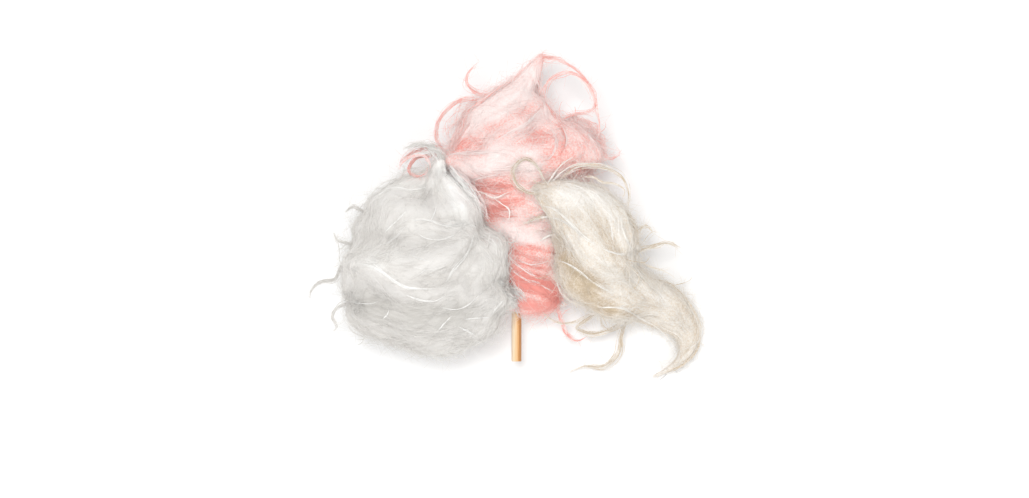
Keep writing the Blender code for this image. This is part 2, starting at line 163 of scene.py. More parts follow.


# Stations run from the mouth at the stick to the peak. Folds stand out of the shown side or, below
# zero, sink into it. A look gives the height of the fine and the coarse streaks and how much each
# shows in the colour, as painted shade in its grooves and painted highlight on its crests. Marks are
# paler or, below zero, deeper in colour: the paler ones are painted highlights along fold crests and
# lit tops, the deeper ones painted shade along creases and on low parts. Combing paths show the way
# the fibres lie in plan. Locks are routes of x, y, z and bundle radius, after the number of their
# strands. Threads lie over the floss, or hang at their height where there is none under them.
PINK = Floss(
    name="pink_floss",
    turning=False,
    stations=(
        Station(10, -11, 27, 19, 20),
        Station(8, 10, 27, 27, 27),
        Station(4, 49, 31, 36, 31),
        Station(2, 84, 39, 50, 41),
        Station(3, 101, 45, 56, 46),
        Station(1, 119, 46, 43.5, 39),
        Station(-4, 133, 48, 29, 28),
        Station(-4, 143, 50, 18.5, 19),
        Station(5, 153, 53, 11, 12),
        Station(13, 164, 55, 6, 7),
        Station(17.5, 172, 56, 2.6, 2.8),
    ),
    start_cap=0.06,
    end_cap=0.02,
    windings=(Winding(1.6, 5.0, 1, 0.3), Winding(0.9, 9.0, -2, 1.7)),
    folds=(
        Fold(-3.5, 8, ((-36, 79), (-14, 80), (2, 81))),
        Fold(4, 8, ((-46, 96), (-15, 92), (12, 94))),
        Fold(4, 6, ((17, 160), (18, 137), (4, 123), (-16, 108))),
        Fold(-4, 8, ((12, 124), (18, 112), (20, 102))),
        Fold(4, 6, ((22, 132), (42, 116), (58, 102))),
        Fold(-3, 7, ((-44, 107), (-33, 108), (-22, 110))),
        Fold(-4, 6, ((-22, 62), (-10, 64), (2, 70))),
        Fold(3, 8, ((-10, 46), (5, 44), (20, 42))),
        Fold(-3, 8, ((-6, 24), (10, 16), (24, 14))),
    ),
    look=Look(0.18, 0.34, 0.16, 0.14, 0.1),
    # Painted shade along the creases of the throat and the hood and on the trunk, low between the
    # other two; painted highlights along the crests of the folds and on a lit band over the hood.
    marks=(
        Mark(-0.9, 5.5, ((-29, 76), (-19, 80), (-5, 80))),
        Mark(-1.1, 4.5, ((-20, 56), (-16, 62), (-10, 66))),
        Mark(-0.8, 3.5, ((-8, 69), (3, 70))),
        Mark(-0.4, 2.8, ((4, 83), (12, 78))),
        Mark(-0.9, 4.5, ((-42, 107), (-26, 108))),
        Mark(-0.55, 7.0, ((2, 109), (15, 113), (27, 102))),
        Mark(-0.5, 7.0, ((37, 106), (44, 92))),
        Mark(-0.4, 4.2, ((-19, 121), (-1, 127), (11, 133))),
        Mark(1.1, 9.5, ((-30, 128), (-12, 136), (4, 147), (9, 156))),
        Mark(0.5, 3.8, ((23, 133), (11, 123), (-3, 114))),
        Mark(0.35, 7.0, ((-19, 106), (-1, 100), (9, 95))),
        Mark(0.9, 6.5, ((-47, 88), (-29, 91), (-12, 95), (11, 90))),
        Mark(0.8, 5.5, ((-8, 49), (6, 44), (20, 44))),
        Mark(-0.9, 4.5, ((-3, 36), (11, 36), (23, 34))),
        Mark(-0.9, 4.5, ((-5, 27), (6, 25), (20, 24))),
        Mark(-1.0, 4.5, ((-4, 19), (8, 17), (24, 13))),
        Mark(-1.8, 5.2, ((-3, 13), (13, 9), (29, 3))),
        Mark(-1.5, 4.5, ((4, -3), (16, -6), (29, -3))),
        Mark(-0.5, 3.8, ((-47, 97), (-33, 97), (-22, 98))),
    ),
    combing=(
        ((16, 170), (6, 162), (-1, 153), (-12, 146), (-22, 142), (-33, 135)),
        ((17, 169), (13, 156), (9, 146), (2, 135), (-8, 127), (-22, 121), (-36, 118)),
        ((18, 167), (19, 155), (21, 141), (25, 128), (34, 121), (44, 114), (53, 107), (64, 99)),
        ((23, 134), (13, 125), (4, 118), (-6, 111), (-13, 102)),
        ((-41, 113), (-40, 123), (-36, 132), (-29, 139)),
        ((-54, 104), (-43, 102), (-29, 99), (-15, 102), (-1, 102), (9, 97)),
        ((-40, 109), (-29, 111), (-19, 114), (-8, 121), (6, 128)),
        ((2, 113), (11, 120), (22, 120), (29, 111), (29, 100), (20, 93), (9, 95)),
        ((39, 118), (46, 109), (50, 99), (48, 88)),
        ((-47, 95), (-33, 92), (-19, 90), (-3, 92), (13, 88)),
        ((-33, 81), (-19, 85), (-5, 84), (9, 79)),
        ((-31, 74), (-19, 76), (-6, 74), (6, 71)),
        ((-22, 57), (-17, 64), (-6, 69), (2, 71)),
        ((-6, 57), (6, 55), (16, 50), (25, 53)),
        ((-8, 44), (2, 41), (15, 39), (25, 41)),
        ((-6, 30), (2, 22), (13, 16), (25, 11)),
        ((-5, 16), (6, 8), (16, 2), (29, -1)),
        ((1, 4), (9, -6), (20, -10), (29, -6)),
    ),
    locks=(
        Lock(22, ((0, 150, 52, 4.0), (8, 161, 55, 3.6), (17, 169, 57, 2.8), (27, 169, 58, 2.0),
            (37, 164, 59, 1.0))),
        Lock(6, ((10, 158, 54, 2.4), (17, 171, 57, 2.2), (34, 166, 60, 1.6), (51, 150, 62, 1.4),
            (57, 130, 60, 1.3), (58, 112, 52, 1.2))),
        Lock(20, ((17, 138, 57, 2.0), (23, 154, 62, 1.7), (37, 159, 64, 1.6), (51, 148, 64, 1.5),
            (54, 134, 60, 1.5), (40, 130, 57, 1.6), (28, 128, 56, 1.9))),
        Lock(16, ((-20, 138, 50, 2.2), (-42, 138, 52, 1.8), (-54, 126, 50, 1.6),
            (-56, 112, 48, 1.5), (-47, 101, 47, 1.9))),
        Lock(13, ((-14, 142, 50, 2.2), (-28, 145, 53, 1.9), (-35, 152, 56, 1.5),
            (-33, 160, 57, 1.1), (-25.5, 166, 57, 0.7))),
        Lock(13, ((-46, 104, 46, 2.2), (-58, 107, 52, 1.8), (-71, 104, 58, 1.5),
            (-79.5, 98, 60, 1.3), (-82, 91, 60, 0.8))),
        Lock(18, ((-44, 99, 50, 1.9), (-60, 101.5, 63, 1.6), (-71, 98, 70, 1.4),
            (-75, 90, 74, 1.4), (-68.5, 86, 77, 1.4), (-62.5, 88, 79, 1.2), (-62, 93, 80, 0.9))),
        Lock(20, ((48, 114, 50, 2.6), (58, 105, 49, 2.1), (66, 99, 48, 1.6), (71, 101, 48, 1.1),
            (72.5, 105, 48, 0.7))),
        Lock(15, ((29, 0, 26, 2.4), (31, -14, 22, 1.9), (36, -24, 19, 1.6), (43, -29, 17, 1.2),
            (50, -26, 16, 0.7))),
    ),
    threads=(
        *rose_and_painted_shade_rows(),
        Thread(16, 1.3, -0.5, 46, ((-42, 106), (-38, 120), (-33, 131), (-20, 141), (-1, 155),
            (12, 168))),
        Thread(10, 1.4, -0.6, 50, ((14, 158), (19, 138), (28, 126), (34, 113), (28, 97))),
        Thread(10, 1.2, -0.5, 50, ((29, 128), (47, 118), (60, 104), (68, 100))),
        Thread(12, 0.9, 0.1, 74, ((-82, 93), (-78, 97), (-72, 100), (-64, 100), (-60, 92),
            (-63, 88))),
        Thread(8, 0.7, 0.2, 50, ((-24, 140), (-35, 142), (-47, 136), (-54, 126), (-55, 115),
            (-53, 108))),
        Thread(14, 1.2, -0.1, 44, ((-20, 143), (-26, 138), (-37, 129), (-40, 121), (-47, 109))),
        Thread(14, 4.0, 0.6, 48, ((-28, 140), (-42, 130), (-49, 120), (-48, 108))),
        Thread(14, 3.0, 0.9, 70, ((-42, 92), (-32, 80), (-25, 68), (-20, 56))),
        Thread(12, 1.6, 1.0, 56, ((15, 165), (14, 159), (16, 150), (23, 136), (30, 130))),
        Thread(14, 1.4, 0.85, 52, ((9, 158), (13, 149), (19, 138), (21, 128), (27, 119))),
        Thread(9, 1.3, 1.6, 52, ((18, 134), (13, 128), (6, 122), (-3, 118), (-15, 110))),
        Thread(40, 4.2, 0.1, 46, ((34, 131), (47, 122), (56, 112), (62, 101))),
        Thread(30, 3.6, 0.2, 44, ((46, 128), (55, 120), (60, 110), (63, 102))),
        Thread(10, 1.2, 0.85, 48, ((32, 128), (41, 123), (49, 115), (62, 101))),
        Thread(10, 1.0, 0.99, 50, ((23, 122), (27, 114), (27, 105), (23, 99), (17, 96))),
        Thread(8, 0.8, 1.12, 50, ((32, 121), (35, 112), (33, 103))),
        Thread(7, 1.0, 1.1, 52, ((-59, 105), (-48, 105), (-38, 102), (-27, 102), (-15, 103),
            (-3, 101))),
        Thread(6, 0.9, 1.4, 52, ((-54, 100), (-41, 102), (-19, 103), (1, 98))),
        Thread(6, 0.9, 1.4, 52, ((-34, 82), (-27, 85), (-17, 87), (-5, 88))),
        Thread(4, 0.9, 0.99, 60, ((32, 167), (40, 163), (49, 152), (54, 140))),
        Thread(8, 0.8, 0.4, 54, ((55, 134), (58, 122), (58, 117), (56, 112))),
        Thread(6, 0.8, 0.99, 54, ((33, 126), (39, 129), (48, 130), (54, 128))),
        Thread(8, 0.8, 0.2, 17, ((32, -19), (35, -25), (40, -29), (47, -28))),
        Thread(6, 0.7, 0.2, 20, ((31, -13), (35, -8), (39, -6))),
        Thread(6, 0.9, 1.2, 40, ((-6, 31), (3, 23), (13, 17), (24, 13))),
        Thread(5, 0.8, 1.1, 40, ((-6, 25), (2, 17), (12, 11), (22, 9))),
        Thread(5, 0.8, 1.1, 40, ((-6, 18), (1, 8), (7, 1))),
        Thread(5, 0.8, 1.1, 40, ((0, 29), (11, 25), (23, 27))),
        Thread(5, 0.8, 1.1, 40, ((6, 15), (17, 11), (28, 4))),
    ),
)

# Stations run from the rounded bottom to the tip that curls over the pink.
WHITE = Floss(
    name="white_floss",
    turning=False,
    stations=(
        Station(-56, -38.5, 47, 24, 24),
        Station(-60, -24, 50, 46, 44),
        Station(-63, -6, 53, 57, 55),
        Station(-63.5, 15, 54, 58.5, 56),
        Station(-63, 40, 54, 54, 53),
        Station(-66, 60, 55, 42, 43),
        Station(-68, 75, 57, 31.5, 32),
        Station(-65, 84, 59, 20, 22),
        Station(-57, 90, 62, 8.5, 11),
        Station(-52.5, 99, 67, 3.6, 4.5),
    ),
    start_cap=0.14,
    end_cap=0.02,
    windings=(Winding(1.8, 4.0, 1, 0.9), Winding(1.0, 7.0, -1, 2.4)),
    folds=(
        Fold(6, 9, ((-46, 88), (-35, 70), (-30, 54), (-40, 38), (-60, 28))),
        Fold(-3.5, 7, ((-18, 52), (-28, 40), (-38, 26), (-56, 14))),
        Fold(4, 10, ((-14, 40), (-12, 22), (-20, 2))),
        Fold(3.5, 8, ((-110, 26), (-92, 14), (-66, 6), (-42, 10))),
        Fold(-3.5, 8, ((-108, 8), (-80, -6), (-50, -10))),
        Fold(3, 8, ((-98, 68), (-80, 64), (-60, 54))),
        Fold(-3, 7, ((-110, 42), (-88, 44), (-66, 38))),
    ),
    look=Look(0.12, 0.24, 0.06, 0.08, 0.12),
    # Painted highlights on the tip, down the right flank and along fold crests; painted shade along
    # the creases, next to the pink and over the low part.
    marks=(
        Mark(1.2, 6.5, ((-54, 97), (-47, 81), (-40, 67))),
        Mark(1.0, 6.0, ((-44, 84), (-30, 68), (-20, 54))),
        Mark(0.3, 7.0, ((-94, 74), (-78, 76), (-64, 81))),
        Mark(-0.4, 4.5, ((-61, 74), (-64, 60), (-61, 51))),
        Mark(-0.3, 7.0, ((-82, 39), (-64, 39), (-47, 41))),
        Mark(-0.5, 3.8, ((-26, 49), (-33, 36), (-43, 23))),
        Mark(0.45, 4.2, ((-68, 51), (-50, 49), (-33, 53))),
        Mark(0.4, 2.4, ((-101, 27), (-90, 16), (-75, 9), (-57, 13))),
        Mark(-1.3, 14, ((-106, -2), (-80, -10), (-44, -10))),
        Mark(-0.4, 10, ((-106, 58), (-92, 52))),
        Mark(-0.3, 7.0, ((-29, 22), (-22, 8), (-19, -6))),
        Mark(0.3, 4.2, ((-15, 44), (-10, 30), (-8, 15))),
    ),
    combing=(
        ((-54, 97), (-49, 88), (-48, 78), (-47, 67), (-43, 57)),
        ((-57, 92), (-55, 78), (-56, 67), (-58, 55)),
        ((-62, 86), (-73, 79), (-85, 76), (-96, 72), (-103, 64), (-108, 53)),
        ((-47, 81), (-40, 71), (-33, 58), (-29, 53)),
        ((-29, 53), (-40, 49), (-54, 51), (-68, 49), (-82, 43)),
        ((-33, 67), (-36, 57), (-47, 51), (-61, 53)),
        ((-94, 64), (-99, 53), (-106, 39), (-113, 27), (-118, 11)),
        ((-78, 60), (-82, 53), (-87, 41), (-92, 34)),
        ((-101, 27), (-92, 18), (-82, 11), (-69, 9), (-57, 13), (-47, 18), (-36, 25), (-26, 36)),
        ((-113, 25), (-99, 23), (-82, 23), (-64, 27)),
        ((-22, 50), (-13, 46), (-10, 36), (-8, 22), (-3, 9), (4, 1)),
        ((-29, 41), (-22, 32), (-19, 22), (-17, 11)),
        ((-54, 2), (-47, 11), (-40, 20), (-31, 29)),
        ((-118, -1), (-106, 1), (-92, 2), (-76, 2)),
        ((-117, -13), (-106, -24), (-92, -33), (-73, -40), (-54, -41), (-36, -36), (-22, -27),
            (-12, -15)),
        ((-103, -12), (-82, -17), (-61, -15), (-40, -8), (-19, 4)),
    ),
    locks=(
        Lock(39, ((-53.5, 88, 63, 5), (-52, 97, 68, 3.8), (-56, 105, 71, 3),
            (-66, 108.5, 72, 2.2), (-79.5, 105, 70, 1.2))),
        Lock(19, ((-98, 58, 56, 1.8), (-107, 62, 58, 1.5), (-114, 65.5, 59, 1.2),
            (-120, 61, 58, 0.7))),
        Lock(15, ((-110, 38, 54, 1.7), (-119, 40, 55, 1.4), (-125, 42, 55, 1.1),
            (-128, 48, 55, 0.7))),
        Lock(22, ((-112, 24, 50, 2.0), (-121, 24, 49, 1.7), (-128, 14, 46, 1.5),
            (-138, 12.5, 44, 1.3), (-144, 6, 42, 1.0), (-145, -1, 41, 0.7))),
        Lock(18, ((-116, -2, 44, 1.8), (-125, -5, 42, 1.5), (-129, -12, 39, 1.3),
            (-126, -19, 37, 1.0), (-130.5, -24, 36, 0.7))),
        Lock(40, ((-10, 12, 58, 2.8), (-4, 4, 47, 2.3), (0.5, -1, 37, 1.6), (3.5, -4, 34, 0.8))),
    ),
    threads=(
        Thread(30, 3.2, 1.5, 72, ((-47, 94), (-39, 84), (-30, 72), (-24, 60))),
        Thread(7, 0.9, 1.53, 68, ((-64, 108), (-55, 98), (-50, 91), (-50, 84))),
        Thread(4, 0.5, 1.75, 50, ((-55, 66), (-57, 60), (-60, 54))),
        Thread(8, 0.9, 1.75, 50, ((-72, 55), (-65, 56), (-48, 52), (-39, 53), (-34, 56),
            (-32, 60))),
        Thread(5, 0.7, 1.55, 50, ((-70, 48), (-62, 43), (-53, 42), (-42, 46), (-35, 50))),
        Thread(4, 0.6, 1.55, 50, ((-97, 38), (-89, 40), (-83, 44), (-78, 50), (-74, 54))),
        Thread(4, 0.6, 1.55, 50, ((-91, 47), (-86, 52), (-79, 59), (-72, 64))),
        Thread(8, 0.9, 1.75, 50, ((-110, 26), (-98, 23), (-89, 17), (-78, 10), (-64, 8), (-55, 8))),
        Thread(5, 0.7, 1.75, 50, ((-100, 27), (-94, 22), (-84, 13), (-69, 8))),
        Thread(5, 0.9, 1.55, 50, ((-29, 46), (-33, 35), (-45, 19), (-49, 11), (-51, 6))),
        Thread(4, 0.8, 1.53, 50, ((-73, 32), (-66, 29), (-58, 27))),
        Thread(5, 0.7, 1.65, 46, ((-122, -2), (-115, -1), (-99, -2), (-92, 1))),
        Thread(4, 0.7, 1.55, 50, ((-78, 5), (-68, 1), (-58, 0), (-48, 4))),
        Thread(4, 0.6, 1.65, 50, ((-54, -4), (-41, -6), (-25, 4), (-16, 12), (-12, 24))),
        Thread(4, 0.6, 1.75, 50, ((-36, -13), (-28, -12), (-18, -12))),
        Thread(4, 0.5, 1.75, 50, ((-42, -17), (-36, -20), (-25, -27))),
        Thread(4, 0.5, 1.65, 50, ((-56, -22), (-50, -16), (-44, -10))),
        Thread(4, 0.5, 1.55, 50, ((-93, -13), (-89, -9), (-88, -5))),
        Thread(4, 0.7, 1.55, 48, ((-8, 1), (-13, -4), (-17, -10))),
        Thread(4, 0.7, -0.3, 42, ((-119, -17), (-114, -23), (-107, -27), (-114, -28))),
        Thread(4, 0.7, -0.1, 44, ((-7, -12), (-8, -20), (-11, -26))),
        Thread(4, 0.7, -0.1, 52, ((-115, 42), (-122, 37), (-127, 33))),
        # The tufts that drape over the top of the stick.
        Thread(60, 3.4, 1.1, 34, ((-13, 14), (-5, 9), (2, 4), (7, -2))),
        Thread(44, 2.8, 1.2, 34, ((-11, 8), (-5, 3), (-1, -4), (1, -13))),
        Thread(5, 0.9, 0.4, 55, ((-80, 83), (-89, 84), (-97, 79), (-104, 70), (-108, 60))),
        Thread(7, 1.0, 1.67, 55, ((-62, 79), (-72, 77), (-84, 78), (-92, 76), (-100, 68))),
        Thread(5, 1.0, 0.4, 66, ((-58, 99), (-63, 103), (-69, 102), (-74, 99), (-78, 94))),
    ),
)

# Stations run from the head on the pink to the tip of the tail.
CREAM = Floss(
    name="cream_floss",
    turning=True,
    stations=(
        Station(11, 78, 75, 6, 7),
        Station(30, 71, 71, 15, 17),
        Station(44.5, 60, 62, 25.5, 30),
        Station(53, 42, 52, 29.5, 41),
        Station(58, 23, 45, 28, 44),
        Station(71, 8.5, 36, 23, 36),
        Station(91, 0.5, 24, 17.5, 25),
        Station(109, -10, 18, 15.3, 19),
        Station(120, -24, 12, 10.5, 12.5),
        Station(119, -39, 8, 5.4, 8.2),
        Station(108, -49, 5.2, 2.6, 4),
        Station(97, -54.5, 3.2, 1.3, 2),
    ),
    start_cap=0.08,
    end_cap=0.01,
    windings=(Winding(1.2, 2.0, 3, 0.4), Winding(0.8, 3.0, -4, 1.2)),
    folds=(
        Fold(4, 7, ((24, 70), (46, 52), (64, 30), (90, 8), (110, -4))),
        Fold(-4.5, 8, ((30, 38), (46, 18), (64, 4))),
        Fold(-1.4, 7, ((54, 66), (62, 50), (72, 34))),
        Fold(1.6, 7, ((72, 66), (78, 46), (82, 30))),
        Fold(3, 6, ((28, 28), (46, 4), (70, -8))),
        Fold(-3, 5, ((86, -14), (104, -22), (112, -30))),
    ),
    look=Look(0.14, 0.28, 0.12, 0.12, 0.08),
    # Painted highlights on top of the head and along the crests of the folds; painted shade along
    # the creases, next to the pink and on the low side of the body and the tail.
    marks=(
        Mark(0.7, 8.8, ((37, 74), (58, 72))),
        Mark(-0.7, 4.2, ((16, 67), (23, 53), (29, 43))),
        Mark(-1.3, 6.3, ((32, 29), (41, 20), (53, 11))),
        Mark(-0.9, 5.2, ((37, 11), (51, 1), (65, -5))),
        Mark(-0.8, 2.8, ((65, -7), (81, -10))),
        Mark(-1.3, 3.5, ((83, -18), (97, -21), (109, -31))),
        Mark(0.15, 5.9, ((41, 43), (58, 25), (78, 11), (102, 2), (123, -12))),
        Mark(-0.3, 5.0, ((55, 53), (64, 39), (67, 32))),
        Mark(0.4, 3.5, ((67, 60), (74, 43), (81, 30))),
        Mark(-0.4, 2.4, ((111, 2), (125, -15), (128, -29))),
    ),
    combing=(
        ((16, 76), (30, 81), (44, 81), (58, 76), (65, 65), (71, 53), (78, 39), (85, 25),
            (99, 15), (114, 8), (125, -3), (130, -19), (128, -33), (118, -47), (100, -55)),
        ((15, 71), (25, 65), (34, 53), (44, 39), (58, 25), (74, 11), (92, 2), (107, -5),
            (118, -15), (123, -27), (116, -43)),
        ((16, 67), (23, 57), (27, 43), (30, 29), (41, 15), (55, 2), (72, -6), (90, -10),
            (106, -15), (116, -27), (114, -40)),
        ((25, 43), (29, 22), (34, 6), (44, -6), (58, -13), (76, -15), (93, -19), (107, -26)),
        ((34, 74), (44, 60), (55, 43), (65, 29)),
    ),
    locks=(
        Lock(12, ((18, 74, 80, 1.7), (8, 75, 84, 1.4), (0, 81, 88, 1.5), (-1.5, 91, 92, 1.4),
            (6, 98, 94, 1.3), (14, 93, 93, 1.2), (19, 84, 87, 1.3), (22, 77, 82, 1.6))),
        Lock(11, ((28, 82, 80, 1.8), (42, 92, 84, 1.6), (58, 92.5, 80, 1.5), (73, 86, 73, 1.5),
            (78, 72, 65, 1.4), (74, 60, 60, 1.8))),
        Lock(15, ((75, 66, 62, 1.8), (83, 50, 58, 1.6), (84, 38, 52, 1.6), (77, 30, 46, 2.0))),
        Lock(13, ((78, 32, 44, 2.0), (92, 36, 42, 1.6), (105, 40, 40, 1.3), (116, 36, 38, 0.7))),
        Lock(7, ((82, 46, 46, 1.5), (91, 52, 46, 1.2), (97, 46, 45, 0.7))),
        Lock(13, ((62, -6, 24, 2.0), (50, -14, 22, 1.7), (42, -20, 19, 1.5), (56, -24, 17, 1.6),
            (68, -20, 18, 1.6), (78, -12, 19, 2.0))),
        Lock(22, ((78, -13, 16, 2.2), (74, -26, 13, 2.0), (72, -38, 10, 1.8), (61, -48, 7, 1.5),
            (48, -47.5, 5, 1.2), (35, -53, 4, 0.7))),
        Lock(13, ((36, 52, 66, 1.6), (24, 58, 66, 1.4), (14, 57, 66, 1.2), (4, 52, 65, 0.7))),
    ),
    threads=(
        Thread(5, 0.5, 0.7, 74, ((-29, 77), (-22, 74), (-15, 71), (-8, 74), (0, 78))),
        Thread(5, 0.5, 0.8, 74, ((-16, 71), (-10, 67), (-5, 63), (-5, 58), (-8, 53))),
        Thread(8, 0.6, 0.85, 80, ((20, 79), (26, 88), (31, 94), (40, 100))),
        Thread(8, 0.8, 0.3, 80, ((23, 81), (33, 90), (41, 94), (52, 95), (62, 94), (69, 90))),
        Thread(10, 0.9, -0.1, 72, ((44, 86), (53, 86), (60, 82), (68, 81), (75, 77), (73, 68))),
        Thread(12, 0.9, 0.1, 52, ((76, 65), (80, 58), (84, 49), (83, 40), (81, 33))),
        Thread(6, 0.6, 0.1, 46, ((84, 50), (88, 52), (93, 51), (96, 46))),
        Thread(7, 0.8, 0.2, 40, ((81, 31), (87, 27), (94, 23), (103, 21), (110, 24))),
        Thread(5, 0.8, 0.2, 38, ((88, 26), (98, 22), (106, 19), (112, 15))),
        Thread(10, 0.9, 0.2, 22, ((17, -7), (23, -13), (33, -17), (41, -16), (48, -12), (58, -8))),
        Thread(10, 0.9, 0.2, 18, ((43, -23), (53, -26), (62, -24), (71, -21), (84, -14))),
        Thread(8, 0.8, 0.3, 20, ((60, -10), (60, -17), (64, -21), (71, -20), (76, -14))),
        Thread(6, 0.6, 0.2, 12, ((132, -26), (136, -32), (141, -36))),
        Thread(16, 1.2, -0.3, 22, ((84, 25), (94, 15), (106, 12), (116, 4), (125, -8), (131, -21))),
        Thread(12, 1.0, -0.3, 12, ((131, -25), (128, -35), (118, -46), (104, -52))),
        Thread(10, 0.8, 1.5, 60, ((3, 52), (13, 57), (23, 58), (32, 55), (50, 41), (60, 36))),
        Thread(9, 0.8, 1.5, 50, ((58, 37), (71, 32), (81, 32))),
        Thread(9, 0.8, 1.5, 60, ((12, 68), (28, 62), (36, 55), (53, 40), (60, 36))),
        Thread(8, 0.8, 1.5, 50, ((27, 29), (36, 25), (54, 12), (74, 2))),
        Thread(8, 0.6, 1.67, 60, ((15, 41), (23, 45), (30, 46))),
        Thread(5, 0.6, 1.2, 50, ((64, 60), (66, 49), (67, 37))),
        Thread(10, 0.9, 1.67, 50, ((72, 61), (74, 49), (81, 33))),
        Thread(10, 0.9, 1.26, 40, ((27, 26), (28, 15), (31, 6), (38, -1), (48, -6))),
        Thread(12, 1.0, 1.4, 20, ((44, -6), (58, -5), (74, -6), (89, -14), (101, -21), (111, -33))),
    ),
)


def shift_to_model():
    """How far the design frame lies from the model's, read from the stick's box."""
    low, high = (np.array(corner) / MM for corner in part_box("stick"))
    middle = (low[0] + high[0]) / 2
    return np.array((middle, low[1] - STICK_LOW_END, low[2] - STICK_HEIGHT + STICK_DIAMETER / 2))


SHIFT = shift_to_model()


def hex_to_linear(text):
    """An sRGB hex colour as linear red, green, blue and alpha."""
    parts = [int(text[k : k + 2], 16) / 255 for k in (0, 2, 4)]
    linear = [p / 12.92 if p <= 0.04045 else ((p + 0.055) / 1.055) ** 2.4 for p in parts]
    return (*linear, 1.0)


def unit(vectors, least=0.0):
    """The directions of the vectors. A small least length keeps empty ones from failing."""
    return vectors / (np.linalg.norm(vectors, axis=-1, keepdims=True) + least)


def eased(values):
    """Each row averaged with the ones before and after it."""
    padded = np.concatenate([values[:1], values, values[-1:]])
    return (padded[:-2] + padded[1:-1] + padded[2:]) / 3


def smooth_curve(points, shares):
    """Values at the given shares of the length of one smooth curve through the points."""
    points = np.asarray(points, float)
    steps = np.linalg.norm(np.diff(points[:, :3], axis=0), axis=1)
    knots = np.concatenate([[0], np.cumsum(steps)])
    knots /= knots[-1]
    slopes = np.gradient(points, knots, axis=0)
    at = np.clip(np.searchsorted(knots, shares, side="right") - 1, 0, len(steps) - 1)
    span = (knots[at + 1] - knots[at])[..., None]
    t = (shares - knots[at])[..., None] / span
    return (
        (2 * t**3 - 3 * t**2 + 1) * points[at]
        + (t**3 - 2 * t**2 + t) * span * slopes[at]
        + (3 * t**2 - 2 * t**3) * points[at + 1]
        + (t**3 - t**2) * span * slopes[at + 1]
    )


def curve_heading(points, shares):
    """The way the smooth curve runs in x, y and z at these shares."""
    step = 1e-3
    ahead = smooth_curve(points, np.clip(shares + step, 0, 1))
    return (ahead - smooth_curve(points, np.clip(shares - step, 0, 1)))[..., :3]


def spine_frame(floss, shares):
    """Centres, sideways directions and half sizes of the upright sections at these shares."""
    rows = smooth_curve(floss.stations, shares)
    side = np.zeros((*shares.shape, 3))
    side[..., 0] = 1
    if floss.turning:
        along = curve_heading(floss.stations, shares)
        side = unit(np.stack([along[..., 1], -along[..., 0], 0 * shares], axis=-1))
    return rows[..., :3], side, rows[..., 3:5]


def rounded_end(share, cap):
    """Grows like a quarter circle from 0 to 1 over the cap, which is a share of the length."""
    left = 1 - np.clip(share / cap, 0, 1)
    return np.sqrt(np.clip(1 - left**2, 0, 1))


def ways_to_path(places, path):
    """Each straight run of a path in plan, with the ways from it to all the places."""
    for start, end in zip(path[:-1], path[1:]):
        start, run = np.array(start, float), np.subtract(end, start).astype(float)
        share = np.clip((places - start) @ run / (run @ run), 0, 1)
        yield run, places - start - share[..., None] * run


def distance_to_path(places, path):
    """Distance in plan from each place to the line through the path's points."""
    nearest = np.full(places.shape[:-1], np.inf)
    for _, way in ways_to_path(places, path):
        nearest = np.minimum(nearest, np.linalg.norm(way, axis=-1))
    return nearest


def upper_share(angles):
    """1 on the shown side of a floss, fading to 0 round its flanks."""
    return np.clip(0.35 + 1.1 * np.sin(angles), 0, 1)


def relief(floss, shares, angles, places):
    """How far the surface stands out from the plain section: wound waves all round, folds on top."""
    out = np.zeros(shares.shape)
    for wave in floss.windings:
        turn = 2 * math.pi * wave.waves * shares + wave.turns * angles + wave.phase
        out += wave.height * np.sin(turn)
    for fold in floss.folds:
        gone = distance_to_path(places, fold.path)
        out += upper_share(angles) * fold.height * np.exp(-((gone / fold.width) ** 2))
    return out


def plain_surface(floss, shares, angles):
    """Points of a floss at shares of its length and angles round its spine, a little inside."""
    centre, side, half = spine_frame(floss, shares)
    cap = rounded_end(shares, floss.start_cap) * rounded_end(1 - shares, floss.end_cap)
    half = half * (1 - INSET / (half + INSET))
    up = np.array((0, 0, 1))
    across = (half[..., 0] * cap * np.cos(angles))[..., None] * side
    over = (half[..., 1] * cap * np.sin(angles))[..., None] * up
    plain = centre + across + over
    outward = np.cos(angles)[..., None] * side + np.sin(angles)[..., None] * up
    # A thin end carries no folds.
    carried = np.clip(half[..., 0] * cap / FULL_FOLDS, 0, 1)
    swell = relief(floss, shares, angles, plain[..., :2]) * carried
    return plain + swell[..., None] * outward, carried


def waves_noise(places, size, rng):
    """Smooth random lumps of about this size, from -1 to 1 or a little more."""
    count = 28
    directions = unit(rng.normal(size=(count, 3)))
    lengths = size * rng.uniform(0.7, 1.6, count)
    phases = rng.uniform(0, 2 * math.pi, count)
    out = np.zeros(places.shape[:-1])
    for direction, length, phase in zip(directions, lengths, phases):
        out += np.sin(places @ direction * (2 * math.pi / length) + phase)
    return out * math.sqrt(2 / count) / 1.5


def combed_direction(floss, places):
    """The way the fibres lie in plan, as unit vectors without a sense, from the combing paths."""
    total = np.zeros((*places.shape[:-1], 2))
    for path in floss.combing:
        for run, way in ways_to_path(places, path):
            # Twice the angle is the same for both senses of a run.
            angle = 2 * math.atan2(run[1], run[0])
            weight = 1 / (np.sum(way**2, axis=-1) + COMB_WIDTH**2) ** 1.5
            total += weight[..., None] * np.array((math.cos(angle), math.sin(angle)))
    angle = np.arctan2(total[..., 1], total[..., 0]) / 2
    return np.stack([np.cos(angle), np.sin(angle)], axis=-1)


